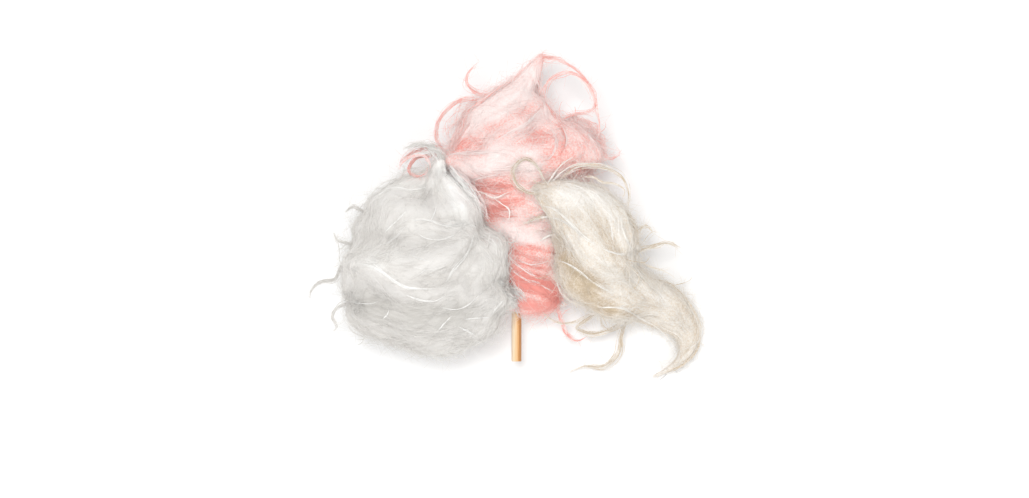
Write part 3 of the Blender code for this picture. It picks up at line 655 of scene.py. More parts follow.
class Surface:
    """One floss as a grid of rings and sides, with its outward and combed directions."""

    def __init__(self, floss):
        self.floss = floss
        self.rng = np.random.default_rng(SEEDS[floss.name])
        ring = np.arange(RINGS + 1) / RINGS
        crowded = (1 - np.cos(math.pi * ring)) / 2
        shares = ring + RING_CROWDING * (crowded - ring)
        angles = np.arange(SIDES) / SIDES * 2 * math.pi
        shares, self.angles = np.meshgrid(shares, angles, indexing="ij")
        self.place, self.carried = plain_surface(floss, shares, self.angles)
        self.hidden = np.zeros(shares.shape, bool)
        lumps = waves_noise(self.place, LUMP_SIZES[0], self.rng)
        lumps = lumps + 0.5 * waves_noise(self.place, LUMP_SIZES[1], self.rng)
        self.find_directions()
        self.swell(LUMP_HEIGHT * lumps)
        self.find_directions()
        self.comb()

    def swell(self, height):
        """Moves the surface out by these heights, less at a thin end, and keeps it off the table."""
        self.place += (height * self.carried)[..., None] * self.outward
        self.place[..., 2] = np.maximum(self.place[..., 2], OFF_TABLE)

    def find_directions(self):
        """Outward normals, combed directions and how fast each runs through the grid."""
        along_rings = np.gradient(self.place, axis=0)
        ahead, behind = np.roll(self.place, -1, axis=1), np.roll(self.place, 1, axis=1)
        along_sides = (ahead - behind) / 2
        normal = np.cross(along_sides, along_rings)
        # The first and last rings are single points, so they look like their neighbours.
        normal[0], normal[-1] = normal[1].mean(axis=0), normal[-2].mean(axis=0)
        normal = unit(normal, 1e-9)
        middle = self.place.mean(axis=(0, 1))
        points_in = np.sum(normal * (self.place - middle)) < 0
        self.outward = -normal if points_in else normal
        plan = combed_direction(self.floss, self.place[..., :2])
        combed = np.concatenate([plan, np.zeros((*plan.shape[:-1], 1))], axis=-1)
        combed -= np.sum(combed * self.outward, axis=-1, keepdims=True) * self.outward
        self.combed = unit(combed, 1e-6)
        # A millimetre along a direction, in rings and sides, solved from the grid's own steps.
        ring_square = np.sum(along_rings**2, axis=-1) + 1e-4
        product = np.sum(along_rings * along_sides, axis=-1)
        side_square = np.sum(along_sides**2, axis=-1) + 1e-4
        fixed = ring_square * side_square - product * product + 1e-6
        self.speeds = []
        for direction in (self.combed, np.cross(self.outward, self.combed)):
            by_ring = np.sum(along_rings * direction, axis=-1)
            by_side = np.sum(along_sides * direction, axis=-1)
            rings = (side_square * by_ring - product * by_side) / fixed
            sides = (ring_square * by_side - product * by_ring) / fixed
            self.speeds.append(np.clip(np.stack([rings, sides], axis=-1), -FASTEST, FASTEST))

    def cell(self, at):
        """The nearest grid indices to positions in the grid."""
        ring = np.clip(np.rint(at[..., 0]).astype(int), 0, RINGS)
        return ring, np.rint(at[..., 1]).astype(int) % SIDES

    def blend(self, values, at):
        """Values between grid points, linear each way."""
        ring = np.clip(at[..., 0], 0, RINGS - 1e-6)
        low, side = np.floor(ring).astype(int), np.floor(at[..., 1]).astype(int)
        u, v = ring - low, at[..., 1] - side
        if values.ndim == 3:
            u, v = u[..., None], v[..., None]
        here, there = side % SIDES, (side + 1) % SIDES
        first = values[low, here] * (1 - v) + values[low, there] * v
        second = values[low + 1, here] * (1 - v) + values[low + 1, there] * v
        return first * (1 - u) + second * u

    def follow(self, start, step, turns):
        """Positions in the grid along the combing, one more than there are rows of turns."""
        at = start
        path = [at]
        heading = self.combed[self.cell(at)]
        for angle in turns:
            cell = self.cell(at)
            here = self.combed[cell]
            sense = np.where(np.sum(here * heading, axis=-1) < 0, -1.0, 1.0)
            forward, sideways = self.speeds[0][cell], self.speeds[1][cell]
            speed = np.cos(angle)[:, None] * forward + np.sin(angle)[:, None] * sideways
            at = at + (sense * step)[:, None] * speed
            at[:, 0] = np.clip(at[:, 0], 1.0, RINGS - 1.0)
            heading = sense[:, None] * here
            path.append(at)
        return np.array(path)

    def streaks(self, width, reach):
        """Noise drawn out along the combing: about 1 on a crest and -1 in a groove."""
        noise = self.rng.normal(size=self.angles.shape)
        for _ in range(width):
            noise = (np.roll(noise, 1, axis=1) + noise + np.roll(noise, -1, axis=1)) / 3
            noise = eased(noise)
        grid = np.meshgrid(np.arange(RINGS + 1), np.arange(SIDES), indexing="ij")
        start = np.stack(grid, axis=-1).reshape(-1, 2).astype(float)
        total = noise.reshape(-1).copy()
        straight = np.zeros((int(reach / STREAK_STEP), len(start)))
        for sense in (1, -1):
            path = self.follow(start, sense * np.full(len(start), STREAK_STEP), straight)
            for at in path[1:]:
                total += noise[self.cell(at)]
        total = total.reshape(noise.shape)
        return np.clip(total / total.std() / STREAK_PEAK, -STREAK_PEAK, STREAK_PEAK)

    def comb(self):
        """Combs the surface: streaks in its relief, and the tone that goes with them, which paints
        shade into their grooves and highlights onto their crests.
        """
        fine, coarse = self.streaks(1, 22), self.streaks(4, 30)
        look = self.floss.look
        # The streaks' tone is painted shade in their grooves and painted highlight on their crests.
        self.tone = look.fine_tone * fine + look.coarse_tone * coarse
        self.tone += look.lump_tone * waves_noise(self.place, TONE_SIZE, self.rng)
        shown = upper_share(self.angles)
        # The marks add painted shade along creases and low parts and painted highlights along crests
        # and lit tops.
        for mark in self.floss.marks:
            # The streaks make the edge of a mark ragged.
            gone = distance_to_path(self.place[..., :2], mark.path) - 1.2 * coarse
            self.tone += shown * mark.tone * np.exp(-np.clip(gone / mark.width, 0, None) ** 2)
        self.swell(look.fine * fine + look.coarse * coarse)

    def press_against(self, tree):
        """Moves what lies inside a neighbour out to its face, and marks it as hidden."""
        for ring in range(RINGS + 1):
            for side in range(SIDES):
                place = Vector(self.place[ring, side])
                nearest, normal, _, _ = tree.find_nearest(place, FAR_INSIDE)
                if nearest is None or (place - nearest).dot(normal) > 0:
                    continue
                self.place[ring, side] = nearest + normal * PRESSED_GAP
                self.hidden[ring, side] = True


def use_edit_mode(obj, mode="VERT"):
    """Opens the object in edit mode with nothing else selected."""
    bpy.ops.object.select_all(action="DESELECT")
    bpy.context.view_layer.objects.active = obj
    obj.select_set(True)
    bpy.ops.object.mode_set(mode="EDIT")
    bpy.ops.mesh.select_mode(type=mode)


def leave_edit_mode(obj):
    """Back to object mode, with the object no longer selected."""
    bpy.ops.object.mode_set(mode="OBJECT")
    obj.select_set(False)


def set_tone(mesh, values):
    """Keeps how pale each point is for the material: 0 is the middle, below it is deeper."""
    attribute = mesh.attributes.new("tone", "FLOAT", "POINT")
    attribute.data.foreach_set("value", np.asarray(values, np.float32).ravel())


def core_piece(surface, name):
    """A globe whose rings are carried to the combed surface of the floss."""
    bpy.ops.object.select_all(action="DESELECT")
    bpy.ops.mesh.primitive_uv_sphere_add(segments=SIDES, ring_count=RINGS, radius=1)
    core = bpy.context.object
    core.name = name
    globe = np.empty(len(core.data.vertices) * 3)
    core.data.vertices.foreach_get("co", globe)
    globe = globe.reshape(-1, 3)
    ring = np.rint(np.arccos(np.clip(-globe[:, 2], -1, 1)) / math.pi * RINGS).astype(int)
    side = np.rint(np.arctan2(globe[:, 1], globe[:, 0]) / (2 * math.pi) * SIDES)
    side = side.astype(int) % SIDES
    places = (surface.place[ring, side] + SHIFT) * MM
    core.data.vertices.foreach_set("co", places.ravel())
    set_tone(core.data, surface.tone[ring, side])
    # The globe is carried over as its mirror image, so its faces are turned out again.
    use_edit_mode(core)
    bpy.ops.mesh.select_all(action="SELECT")
    bpy.ops.mesh.flip_normals()
    leave_edit_mode(core)
    core.data.shade_smooth()
    return core


def surface_tree(surface):
    """A search tree of the closed surface, for what presses against it."""
    rings, sides = surface.place.shape[:2]
    index = np.arange(rings * sides).reshape(rings, sides)
    ahead = np.roll(index, -1, axis=1)
    quads = np.stack([index[:-1], index[1:], ahead[1:], ahead[:-1]], axis=-1).reshape(-1, 4)
    places = surface.place.reshape(-1, 3)
    first, second, third, fourth = (places[quads[:, k]] for k in range(4))
    face_out = np.cross(third - first, fourth - second)
    if np.sum(face_out * surface.outward.reshape(-1, 3)[quads[:, 0]]) < 0:
        quads = quads[:, ::-1]
    return BVHTree.FromPolygons(places.tolist(), quads.tolist())


def strand_model(rings):
    """One strand: a three-sided rod with its rings, as corner levels, corner angles and faces."""
    bpy.ops.object.select_all(action="DESELECT")
    bpy.ops.mesh.primitive_cylinder_add(vertices=3, radius=1, depth=1, end_fill_type="NGON")
    rod = bpy.context.object
    use_edit_mode(rod, "EDGE")
    bpy.ops.mesh.select_all(action="DESELECT")
    bpy.ops.object.mode_set(mode="OBJECT")
    # The upright edges are cut into rings.
    for edge in rod.data.edges:
        ends = [rod.data.vertices[k].co.z for k in edge.vertices]
        edge.select = abs(ends[0] - ends[1]) > 0.5
    bpy.ops.object.mode_set(mode="EDIT")
    bpy.ops.mesh.subdivide(number_cuts=rings - 2)
    bpy.ops.mesh.select_all(action="SELECT")
    bpy.ops.mesh.quads_convert_to_tris()
    leave_edit_mode(rod)
    corners = np.array([v.co for v in rod.data.vertices])
    faces = np.array([tuple(p.vertices) for p in rod.data.polygons])
    bpy.data.meshes.remove(rod.data)
    level = np.rint((corners[:, 2] + 0.5) * (rings - 1)).astype(int)
    return level, np.arctan2(corners[:, 1], corners[:, 0]), faces


def strands_piece(name, routes, radii, tones):
    """Many strands as one mesh: routes are strands by rings by x, y and z in the design frame."""
    level, angle, faces = strand_model(routes.shape[1])
    # A strand that would reach far out of the solids' box is left out.
    low, high = (np.array(corner) / MM - SHIFT for corner in CAD_BOX)
    kept = np.all((routes > low - FARTHEST) & (routes < high + FARTHEST), axis=(1, 2))
    routes, radii, tones = routes[kept], radii[kept], tones[kept]
    count = len(routes)
    along = unit(np.gradient(routes, axis=1), 1e-9)
    # A fixed helper direction for each strand keeps its three sides from twisting.
    mean = along.mean(axis=1)
    helper = np.zeros_like(mean)
    helper[np.arange(count), np.argmin(np.abs(mean), axis=1)] = 1
    first = unit(np.cross(along, helper[:, None, :]), 1e-9)
    second = np.cross(along, first)
    angle = angle[None, :, None]
    turn = np.cos(angle) * first[:, level] + np.sin(angle) * second[:, level]
    corners = routes[:, level] + radii[:, level, None] * turn
    corners[..., 2] = np.maximum(corners[..., 2], STRANDS_OFF_TABLE)
    corners = (corners.reshape(-1, 3) + SHIFT) * MM
    offsets = np.arange(count)[:, None, None] * len(level)
    triangles = (faces[None] + offsets).reshape(-1, 3)
    mesh = bpy.data.meshes.new(name)
    mesh.vertices.add(len(corners))
    mesh.vertices.foreach_set("co", corners.astype(np.float32).ravel())
    mesh.loops.add(triangles.size)
    mesh.loops.foreach_set("vertex_index", triangles.astype(np.int32).ravel())
    mesh.polygons.add(len(triangles))
    mesh.polygons.foreach_set("loop_start", np.arange(0, triangles.size, 3, dtype=np.int32))
    mesh.update(calc_edges=True)
    mesh.validate()
    # So fine a rod is lit best with flat sides.
    mesh.shade_flat()
    set_tone(mesh, tones[:, level])
    made = bpy.data.objects.new(name, mesh)
    bpy.context.scene.collection.objects.link(made)
    return made


def spread_starts(surface, count, rng, rim):
    """Random places in the grid, even over the surface that shows, with more of them at the rim."""
    ahead, behind = np.roll(surface.place, -1, axis=1), np.roll(surface.place, 1, axis=1)
    cross = np.cross(np.gradient(surface.place, axis=0), (ahead - behind) / 2)
    upward = surface.outward[..., 2]
    area = np.linalg.norm(cross, axis=-1) * ~surface.hidden
    area *= np.where(upward > -0.25, 1.0, 1 - FEWER_BELOW)
    area *= 1 + rim * np.clip(1 - np.abs(upward) / 0.5, 0, 1)
    area[0] = area[-1] = 0
    pick = rng.choice(area.size, size=count, p=(area / area.sum()).ravel())
    start = np.stack(np.unravel_index(pick, area.shape), axis=-1).astype(float)
    return start + rng.uniform(-0.5, 0.5, start.shape)


def fibre_routes(surface, batch, rings, rng):
    """Fibres that follow the combing, tucked in at both ends and lifted between."""
    count, sway = batch.count, batch.sway
    start = spread_starts(surface, count, rng, batch.rim)
    length = rng.uniform(*batch.lengths, count)
    turn = rng.normal(0, sway, count)[None]
    turn = turn + np.cumsum(rng.normal(0, sway / 3, (rings - 1, count)), axis=0)
    sense = rng.choice((-1.0, 1.0), count)
    path = surface.follow(start, sense * length / (rings - 1), turn)
    share = np.linspace(0, 1, rings)[:, None]
    low, high = batch.lifts
    lift = low + (high - low) * rng.uniform(0, 1, count) ** 3
    height = (lift + TUCK) * np.sin(math.pi * share ** rng.uniform(0.7, 1.4, count)) - TUCK
    routes = surface.blend(surface.place, path)
    routes = routes + height[..., None] * surface.blend(surface.outward, path)
    tone = surface.blend(surface.tone, path)
    shows = ~surface.hidden[surface.cell(path)].any(axis=0)
    return routes.transpose(1, 0, 2)[shows], tone.T[shows]


def tapered(rng, count, rings, sizes, power=1.0):
    """Radii along each strand, thickest in the middle and fine at both ends."""
    thin, thick = sizes
    share = np.linspace(0, 1, rings)[None]
    body = thin + (thick - thin) * rng.uniform(0, 1, (count, 1)) ** power
    return body * np.clip(0.25 + 1.1 * np.sin(math.pi * share) ** 0.7, 0.25, 1)


def add_fibres(surface, name, thin, thick, rng):
    """The fibres of one floss: fine ones all over, bold ones, and loose ones that stand off."""
    rings = 8
    batches = (
        Batch(2600, (16, 48), (0.1, 0.9), 0.34, 0.0, (thin, thick), (0.1, 0.14)),
        Batch(320, (18, 50), (0.3, 1.3), 0.4, 0.0, (0.8 * thick, 1.4 * thick), (0.3, 0.2)),
        Batch(560, (12, 40), (1.2, 5.0), 0.7, 4.0, (0.7 * thin, 0.7 * thick), (0.3, 0.2)),
    )
    made = []
    for batch in batches:
        routes, tone = fibre_routes(surface, batch, rings, rng)
        radii = tapered(rng, len(routes), rings, batch.radii, 1.5)
        tone = tone + rng.normal(0, 0.2, routes.shape[:2])
        made.append((routes, radii, tone + rng.normal(*batch.paler, (len(routes), 1))))
    return strands_piece(name, *(np.concatenate(rows) for rows in zip(*made)))


def hair_starts(surface, count, rng, rim):
    """Places in the grid, with the place, the outward and a combed direction of either sense."""
    start = spread_starts(surface, count, rng, rim)
    grids = (surface.place, surface.outward, surface.combed)
    place, outward, combed = (surface.blend(grid, start) for grid in grids)
    return start, place, outward, combed * rng.choice((-1.0, 1.0), (count, 1))


def walked(start, step, length):
    """Routes of these lengths from their starts, in the steps' directions."""
    gone = np.cumsum(step, axis=1) - step[:, :1]
    return start[:, None] + gone * (length / (step.shape[1] - 1))[..., None]


def add_fuzz(surface, name, count, rng):
    """The soft edge: very fine short hairs that rise and curl, most of them at the rim."""
    rings = 6
    start, place, outward, ahead = hair_starts(surface, count, rng, 7.0)
    side = np.cross(outward, ahead)
    share = np.linspace(0, 1, rings)[None]
    length = rng.uniform(5, 20, (count, 1))
    climb = rng.uniform(0.15, 1.0, (count, 1)) - rng.uniform(0, 1.3, (count, 1)) * share
    heading = rng.normal(0, 0.5, (count, 1)) + rng.normal(0, 1.2, (count, 1)) * share
    step = (
        (np.cos(climb) * np.cos(heading))[..., None] * ahead[:, None]
        + (np.cos(climb) * np.sin(heading))[..., None] * side[:, None]
        + np.sin(climb)[..., None] * outward[:, None]
    )
    routes = walked(place - 0.5 * outward, step, length)
    tone = surface.blend(surface.tone, start)[:, None] + rng.normal(0.4, 0.2, (count, 1))
    hairs = lock_hairs(surface.floss, rings, rng)
    routes = np.concatenate([routes, hairs])
    tone = np.concatenate([tone, rng.normal(0.2, 0.3, (len(hairs), 1))])
    radii = tapered(rng, len(routes), rings, HAIR_RADII)
    return strands_piece(name, routes, radii, tone + 0 * share)


def lock_hairs(floss, rings, rng):
    """Very fine short hairs that stand off the locks all along them."""
    routes = []
    for lock in floss.locks:
        size = (HAIRS_A_LOCK, 1, 3)
        rows = smooth_curve(lock.route, rng.uniform(0, 1, HAIRS_A_LOCK))
        # They lie flatter than they stand.
        run = unit(rng.normal(size=size) + 1.5 * rng.normal(size=size) * [1, 1, 0.3])
        step = run + rng.normal(0, 0.9, size) * np.linspace(0, 1, rings)[None, :, None]
        step *= rng.uniform(2, 8, (HAIRS_A_LOCK, 1, 1)) / (rings - 1)
        start = rows[:, None, :3] + rng.normal(0, 0.4, size) * rows[:, None, 3:4]
        routes.append(start + np.cumsum(step, axis=1) - step[:, :1])
    return np.concatenate(routes)


def curl_routes(surface, count, rings, rng):
    """Stray curls at the rim, each a thread that leaves the floss and winds to a point."""
    _, place, outward, ahead = hair_starts(surface, count, rng, 40.0)
    share = np.linspace(0, 1, rings)[None]
    length = rng.uniform(10, 26, (count, 1))
    # The curl turns in the plane of the combing and the outward direction, tighter to its tip.
    turn = rng.uniform(0.1, 0.5, (count, 1))
    sense = rng.choice((-1.0, 1.0), (count, 1))
    turn = turn + sense * rng.uniform(0.4, 2.6, (count, 1)) * share**1.6
    turn += 0.25 * np.sin(share * rng.uniform(5, 11, (count, 1)))
    step = np.cos(turn)[..., None] * ahead[:, None] + np.sin(turn)[..., None] * outward[:, None]
    return walked(place - 0.6 * outward, step, length)


def bundle_routes(route, count, rings, rng, spread, twist=1.2):
    """Strands wound together along one route of x, y, z and radius, from its root to its tip."""
    start = rng.uniform(0, 0.12, count)
    end = rng.uniform(0.72, 1.0, count)
    share = start[:, None] + (end - start)[:, None] * np.linspace(0, 1, rings)[None]
    rows = smooth_curve(route, share)
    along = unit(curve_heading(route, share))
    side = unit(np.cross(along, (0, 0, 1)), 1e-6)
    up = np.cross(side, along)
    turn = rng.uniform(0, 2 * math.pi, (count, 1))
    turn = turn + share * rng.normal(twist, 0.7, (count, 1)) * 2 * math.pi
    out = rows[..., 3] * spread * rng.uniform(0.05, 1, (count, 1)) ** 0.6
    out = out * (1 + 0.35 * np.sin(share * rng.uniform(6, 16, (count, 1)) + turn))
    across = (out * np.cos(turn))[..., None] * side
    return rows[..., :3] + across + (out * np.sin(turn))[..., None] * up


def add_locks(floss, name, sizes, rng):
    """The curled locks of one floss, each a bundle of fine strands with a few stray ones."""
    rings = 16
    curls = curl_routes(surface_of(floss), STRAY_CURLS, rings, rng)
    doubled = curls[:DOUBLED_CURLS]
    routes = [curls, doubled + rng.normal(0, 0.25, doubled.shape)]
    for lock in floss.locks:
        routes.append(bundle_routes(lock.route, lock.strands, rings, rng, 0.7))
        routes.append(bundle_routes(lock.route, lock.strands // 3, rings, rng, 1.6, 0.6))
    routes = np.concatenate(routes)
    radii = tapered(rng, len(routes), rings, sizes)
    tones = rng.normal(-0.3, 0.6, (len(routes), 1)) + rng.normal(0, 0.6, (len(routes), rings))
    return strands_piece(name, routes, radii, tones)


def laid_route(trees, thread):
    """A thread's path in plan, laid over what lies under it or hung at its own height."""
    share = np.linspace(0, 1, 25)
    plan = smooth_curve(thread.path, share)
    heights = []
    for x, y in plan:
        hits = [tree.ray_cast(Vector((x, y, 300)), Vector((0, 0, -1)))[0] for tree in trees]
        tops = [hit.z + thread.radius + THREAD_GAP for hit in hits if hit]
        heights.append(max([thread.height, *tops]))
    # A thread bridges the small dips under it.
    for _ in range(3):
        even = eased(heights)
        heights = np.maximum(heights, even) * 0.5 + even * 0.5
    radius = thread.radius * (0.3 + 0.7 * np.sin(math.pi * share) ** 0.5)
    return np.column_stack([plan, heights, radius])


def add_threads(floss, trees, name, sizes, rng):
    """The long threads drawn over one floss and past its edge, each a few strands together."""
    rings = 16
    routes, tones = [], []
    for thread in floss.threads:
        route = laid_route(trees, thread)
        routes.append(bundle_routes(route, thread.strands, rings, rng, 1.0, 0.8))
        tones.append(rng.normal(thread.tone, 0.45, (thread.strands, 1)))
    routes = np.concatenate(routes)
    radii = tapered(rng, len(routes), rings, sizes)
    return strands_piece(name, routes, radii, np.concatenate(tones) + np.zeros((1, rings)))


def set_inputs(node, inputs):
    """Links a node's inputs to sockets or gives them values, by name or number."""
    for key, value in inputs.items():
        if isinstance(value, bpy.types.NodeSocket):
            node.id_data.links.new(value, node.inputs[key])
        else:
            node.inputs[key].default_value = value


def add_node(material, kind, inputs, **settings):
    """One shader node with its settings, and its inputs linked or set."""
    node = material.node_tree.nodes.new(kind)
    for key, value in settings.items():
        setattr(node, key, value)
    set_inputs(node, inputs)
    return node


def new_material(name):
    """A material with nodes, and its Principled node."""
    material = bpy.data.materials.new(name)
    material.use_nodes = True
    return material, material.node_tree.nodes["Principled BSDF"]


def colour_ramp(material, value, stops):
    """A ramp over these positions and linear colours."""
    ramp = add_node(material, "ShaderNodeValToRGB", {"Fac": value})
    elements = ramp.color_ramp.elements
    while len(elements) < len(stops):
        elements.new(0.5)
    for element, (position, colour) in zip(elements, stops):
        element.position = position
        element.color = colour
    return ramp.outputs["Color"]


def spun_sugar(name, colours):
    """Spun sugar floss: fine drawn threads of melted sugar and colour, matte and very pale. Its
    colour carries painted shade, deep in the grooves, creases and low parts, and painted highlights,
    pale on the crests and lit tops, over the floss's own colour, with fine specks where threads
    cross."""
    material, shader = new_material(name)
    tone = add_node(material, "ShaderNodeAttribute", {}, attribute_name="tone")
    place = add_node(material, "ShaderNodeTexCoord", {}).outputs["Object"]
    noise = {"Vector": place, "Scale": SPECKS_A_METRE, "Detail": 2, "Roughness": 0.7}
    specks = add_node(material, "ShaderNodeTexNoise", noise)
    level = {0: specks.outputs["Fac"], 1: colours.speckle, 2: tone.outputs["Fac"]}
    shifted = add_node(material, "ShaderNodeMath", level, operation="MULTIPLY_ADD")
    # Noise is about a half, so the range of tones moves up by half of the specks' strength.
    low, high = (limit + colours.speckle / 2 for limit in TONE_RANGE)
    reach = {"Value": shifted.outputs["Value"], "From Min": low, "From Max": high}
    ranged = add_node(material, "ShaderNodeMapRange", reach)
    stops = [(position, getattr(colours, key)) for key, position in TONE_STOPS.items()]
    ramp = colour_ramp(material, ranged.outputs["Result"], stops)
    set_inputs(
        shader,
        {
            "Base Color": ramp,
            "Roughness": 0.8,
            "IOR": 1.5,
            "Specular IOR Level": 0.15,
            "Sheen Weight": 0.25,
            "Sheen Roughness": 0.6,
        },
    )
    return material


def birch_with_painted_shade(name):
    """Turned birch dowel, bare and rubbed smooth: pale warm wood with a painted highlight left of
    its middle and painted shade browning it toward the right side, and long grain lines drawn at
    nearly a millimetre so that they show."""
    material, shader = new_material(name)
    place = add_node(material, "ShaderNodeTexCoord", {}).outputs["Object"]
    drawn_out = add_node(material, "ShaderNodeMapping", {"Vector": place, "Scale": (1, 0.06, 1)})
    noise = {"Vector": drawn_out.outputs["Vector"], "Scale": GRAINS_A_METRE, "Detail": 3}
    grain = add_node(material, "ShaderNodeTexNoise", noise).outputs["Fac"]
    # From one side of the stick to the other, 0 to 1: it places the painted highlight left of the
    # middle and the painted shade toward the right side.
    middle, radius = SHIFT[0] * MM, STICK_DIAMETER / 2 * MM
    side = add_node(material, "ShaderNodeSeparateXYZ", {"Vector": place}).outputs["X"]
    reach = {"Value": side, "From Min": middle - radius, "From Max": middle + radius}
    across = add_node(material, "ShaderNodeMapRange", reach).outputs["Result"]
    parts = {0: grain, 1: 0.35, 2: across}
    grain_and_painted_shade = add_node(material, "ShaderNodeMath", parts, operation="MULTIPLY_ADD")
    stops = [(position, hex_to_linear(text)) for position, text in BIRCH_AND_PAINTED_SHADE_STOPS.items()]
    relief_of_grain = {"Height": grain, "Strength": 0.15, "Distance": 0.0002}
    bump = add_node(material, "ShaderNodeBump", relief_of_grain)
    set_inputs(
        shader,
        {
            "Base Color": colour_ramp(material, grain_and_painted_shade.outputs["Value"], stops),
            "Normal": bump.outputs["Normal"],
            "Roughness": 0.4,
        },
    )
    return material


def finish_piece(piece, node, material):
    """Gives a piece its material, hangs it under the root body and hides the CAD node it stands for.
    """
    piece.data.materials.clear()
    piece.data.materials.append(material)
    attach(piece, "root")
    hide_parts(node)


SURFACES = {}


def surface_of(floss):
    """The surface of a floss, made once."""
    if floss.name not in SURFACES:
        SURFACES[floss.name] = Surface(floss)
    return SURFACES[floss.name]


def sugar_of(context, floss):
    """The material of a floss, made once."""
    name = floss.name + "_spun_sugar"
    if name in bpy.data.materials:
        return bpy.data.materials[name]
    return spun_sugar(name, getattr(context.scene, floss.name))


def fibre_sizes(context):
    """Radii of the thin and the thick fibres, in millimetres."""
    sizes = context.scene.candy_sizes
    return sizes.thin / MM, sizes.thick / MM


def build_floss(context, floss):
    """Adds the core of a floss, its fibres, its fuzz and its locks."""
    surface = surface_of(floss)
    rng = np.random.default_rng(SEEDS[floss.name] + 100)
    thin, thick = fibre_sizes(context)
    made = (
        core_piece(surface, floss.name + "_core"),
        add_fibres(surface, floss.name + "_fibres", thin, thick, rng),
        add_fuzz(surface, floss.name + "_fuzz", HAIRS, rng),
        add_locks(floss, floss.name + "_locks", (thin, 1.1 * thick), rng),
    )
    for piece in made:
        finish_piece(piece, floss.name, sugar_of(context, floss))


def colour_setting(label, text):
    """A colour setting with an sRGB hex value as its default."""
    return bpy.props.FloatVectorProperty(
        name=label,
        description=label + " colour of the floss, from its grooves to its crests",
        subtype="COLOR",
        size=4,
        min=0,
        max=1,
        default=hex_to_linear(text),
    )


def speckle_setting(strength):
    """How strongly the specks show in the colour of a floss."""
    return bpy.props.FloatProperty(
        name="Speckle", description="Strength of the specks", default=strength, min=0
    )


def radius_setting(label, description, radius):
    """A strand's radius in millimetres, kept as a length."""
    return bpy.props.FloatProperty(
        name=label,
        description=description,
        default=radius * MM,
        min=0.01 * MM,
        unit="LENGTH",
        precision=6,
    )


# The deeper colours also serve as painted shade in grooves, creases and low parts, and the paler
# ones as painted highlights on crests and lit tops.
class PinkColours(bpy.types.PropertyGroup):
    """Colours of the pink floss"""

    deepest: colour_setting("Deepest", "F1A59B")
    deep: colour_setting("Deep", "F5C9C2")
    middle: colour_setting("Middle", "F6DFDB")
    pale: colour_setting("Pale", "F7E9E6")
    bright: colour_setting("Bright", "FCF2EF")
    speckle: speckle_setting(3.4)


class WhiteColours(bpy.types.PropertyGroup):
    """Colours of the white floss"""

    deepest: colour_setting("Deepest", "CFCCC7")
    deep: colour_setting("Deep", "DBD8D4")
    middle: colour_setting("Middle", "E5E2DE")
    pale: colour_setting("Pale", "F0EFEC")
    bright: colour_setting("Bright", "FDFCFA")
    speckle: speckle_setting(1.0)


class CreamColours(bpy.types.PropertyGroup):
    """Colours of the cream floss"""

    deepest: colour_setting("Deepest", "CCBBA1")
    deep: colour_setting("Deep", "E0D3C2")
    middle: colour_setting("Middle", "EBE5DC")
    pale: colour_setting("Pale", "F5F2EE")
    bright: colour_setting("Bright", "FDFBF6")
    speckle: speckle_setting(2.6)


class CandySizes(bpy.types.PropertyGroup):
    """Sizes of the drawn fibres"""

    thin: radius_setting("Thin fibre", "Radius of the finest drawn fibres", 0.1)
    thick: radius_setting("Thick fibre", "Radius of the thicker fibres", 0.22)


class AddWhiteFloss(bpy.types.Operator):
    """Adds the white floss on the left"""

    bl_idname = "candy.add_white_floss"
    bl_label = "White floss"

    def execute(self, context):
        build_floss(context, WHITE)
        return {"FINISHED"}


class AddCreamFloss(bpy.types.Operator):
    """Adds the cream floss on the right"""

    bl_idname = "candy.add_cream_floss"
    bl_label = "Cream floss"

    def execute(self, context):
        build_floss(context, CREAM)
        return {"FINISHED"}


class AddPinkFloss(bpy.types.Operator):
    """Adds the pink floss, pressed against the other two"""

    bl_idname = "candy.add_pink_floss"
    bl_label = "Pink floss"

    def execute(self, context):
        surface = surface_of(PINK)
        for neighbour in (WHITE, CREAM):
            surface.press_against(surface_tree(surface_of(neighbour)))
        surface.find_directions()
        build_floss(context, PINK)
        return {"FINISHED"}


class AddThreads(bpy.types.Operator):
    """Adds the long threads that lie over the floss and curl past its edge"""

    bl_idname = "candy.add_threads"
    bl_label = "Long threads"

    def execute(self, context):
        thin, thick = fibre_sizes(context)
        trees = [surface_tree(surface_of(floss)) for floss in (WHITE, CREAM, PINK)]
        for floss in (WHITE, CREAM, PINK):
            rng = np.random.default_rng(SEEDS[floss.name] + 200)
            name = floss.name + "_threads"
            made = add_threads(floss, trees, name, (thin, 1.1 * thick), rng)
            finish_piece(made, floss.name, sugar_of(context, floss))
        return {"FINISHED"}


class AddStick(bpy.types.Operator):
    """Adds the turned wooden stick"""

    bl_idname = "candy.add_stick"
    bl_label = "Wooden stick"

    def execute(self, context):
        low, high = (np.array(corner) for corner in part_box("stick"))
        middle, size = (low + high) / 2, high - low
        bpy.ops.object.select_all(action="DESELECT")
        bpy.ops.mesh.primitive_cylinder_add(
            vertices=64,
            radius=size[0] / 2,
            depth=size[1],
            location=middle,
            rotation=(math.pi / 2, 0, 0),
        )
        stick = bpy.context.object
        stick.name = "wooden_stick"
        bpy.ops.object.transform_apply(location=True, rotation=True, scale=True)
        rim = stick.modifiers.new("rim", "BEVEL")
        rim.width = STICK_EDGE * MM
        rim.segments = 3
        rim.limit_method = "ANGLE"
        rim.angle_limit = math.radians(60)
        bpy.ops.object.modifier_apply(modifier="rim")
        bpy.ops.object.shade_smooth_by_angle(angle=math.radians(40))
        finish_piece(stick, "stick", birch_with_painted_shade("birch"))
        return {"FINISHED"}


def add_lamp(name, place, width, watts):
    """A round soft light that faces the candy."""
    bpy.ops.object.light_add(type="AREA", location=place)
    lamp = bpy.context.object
    lamp.name = name
    lamp.data.shape = "DISK"
    lamp.data.size = width
    lamp.data.energy = watts
    target = (Vector(CAD_BOX[0]) + Vector(CAD_BOX[1])) / 2
    lamp.rotation_euler = (target - lamp.location).to_track_quat("-Z", "Y").to_euler()


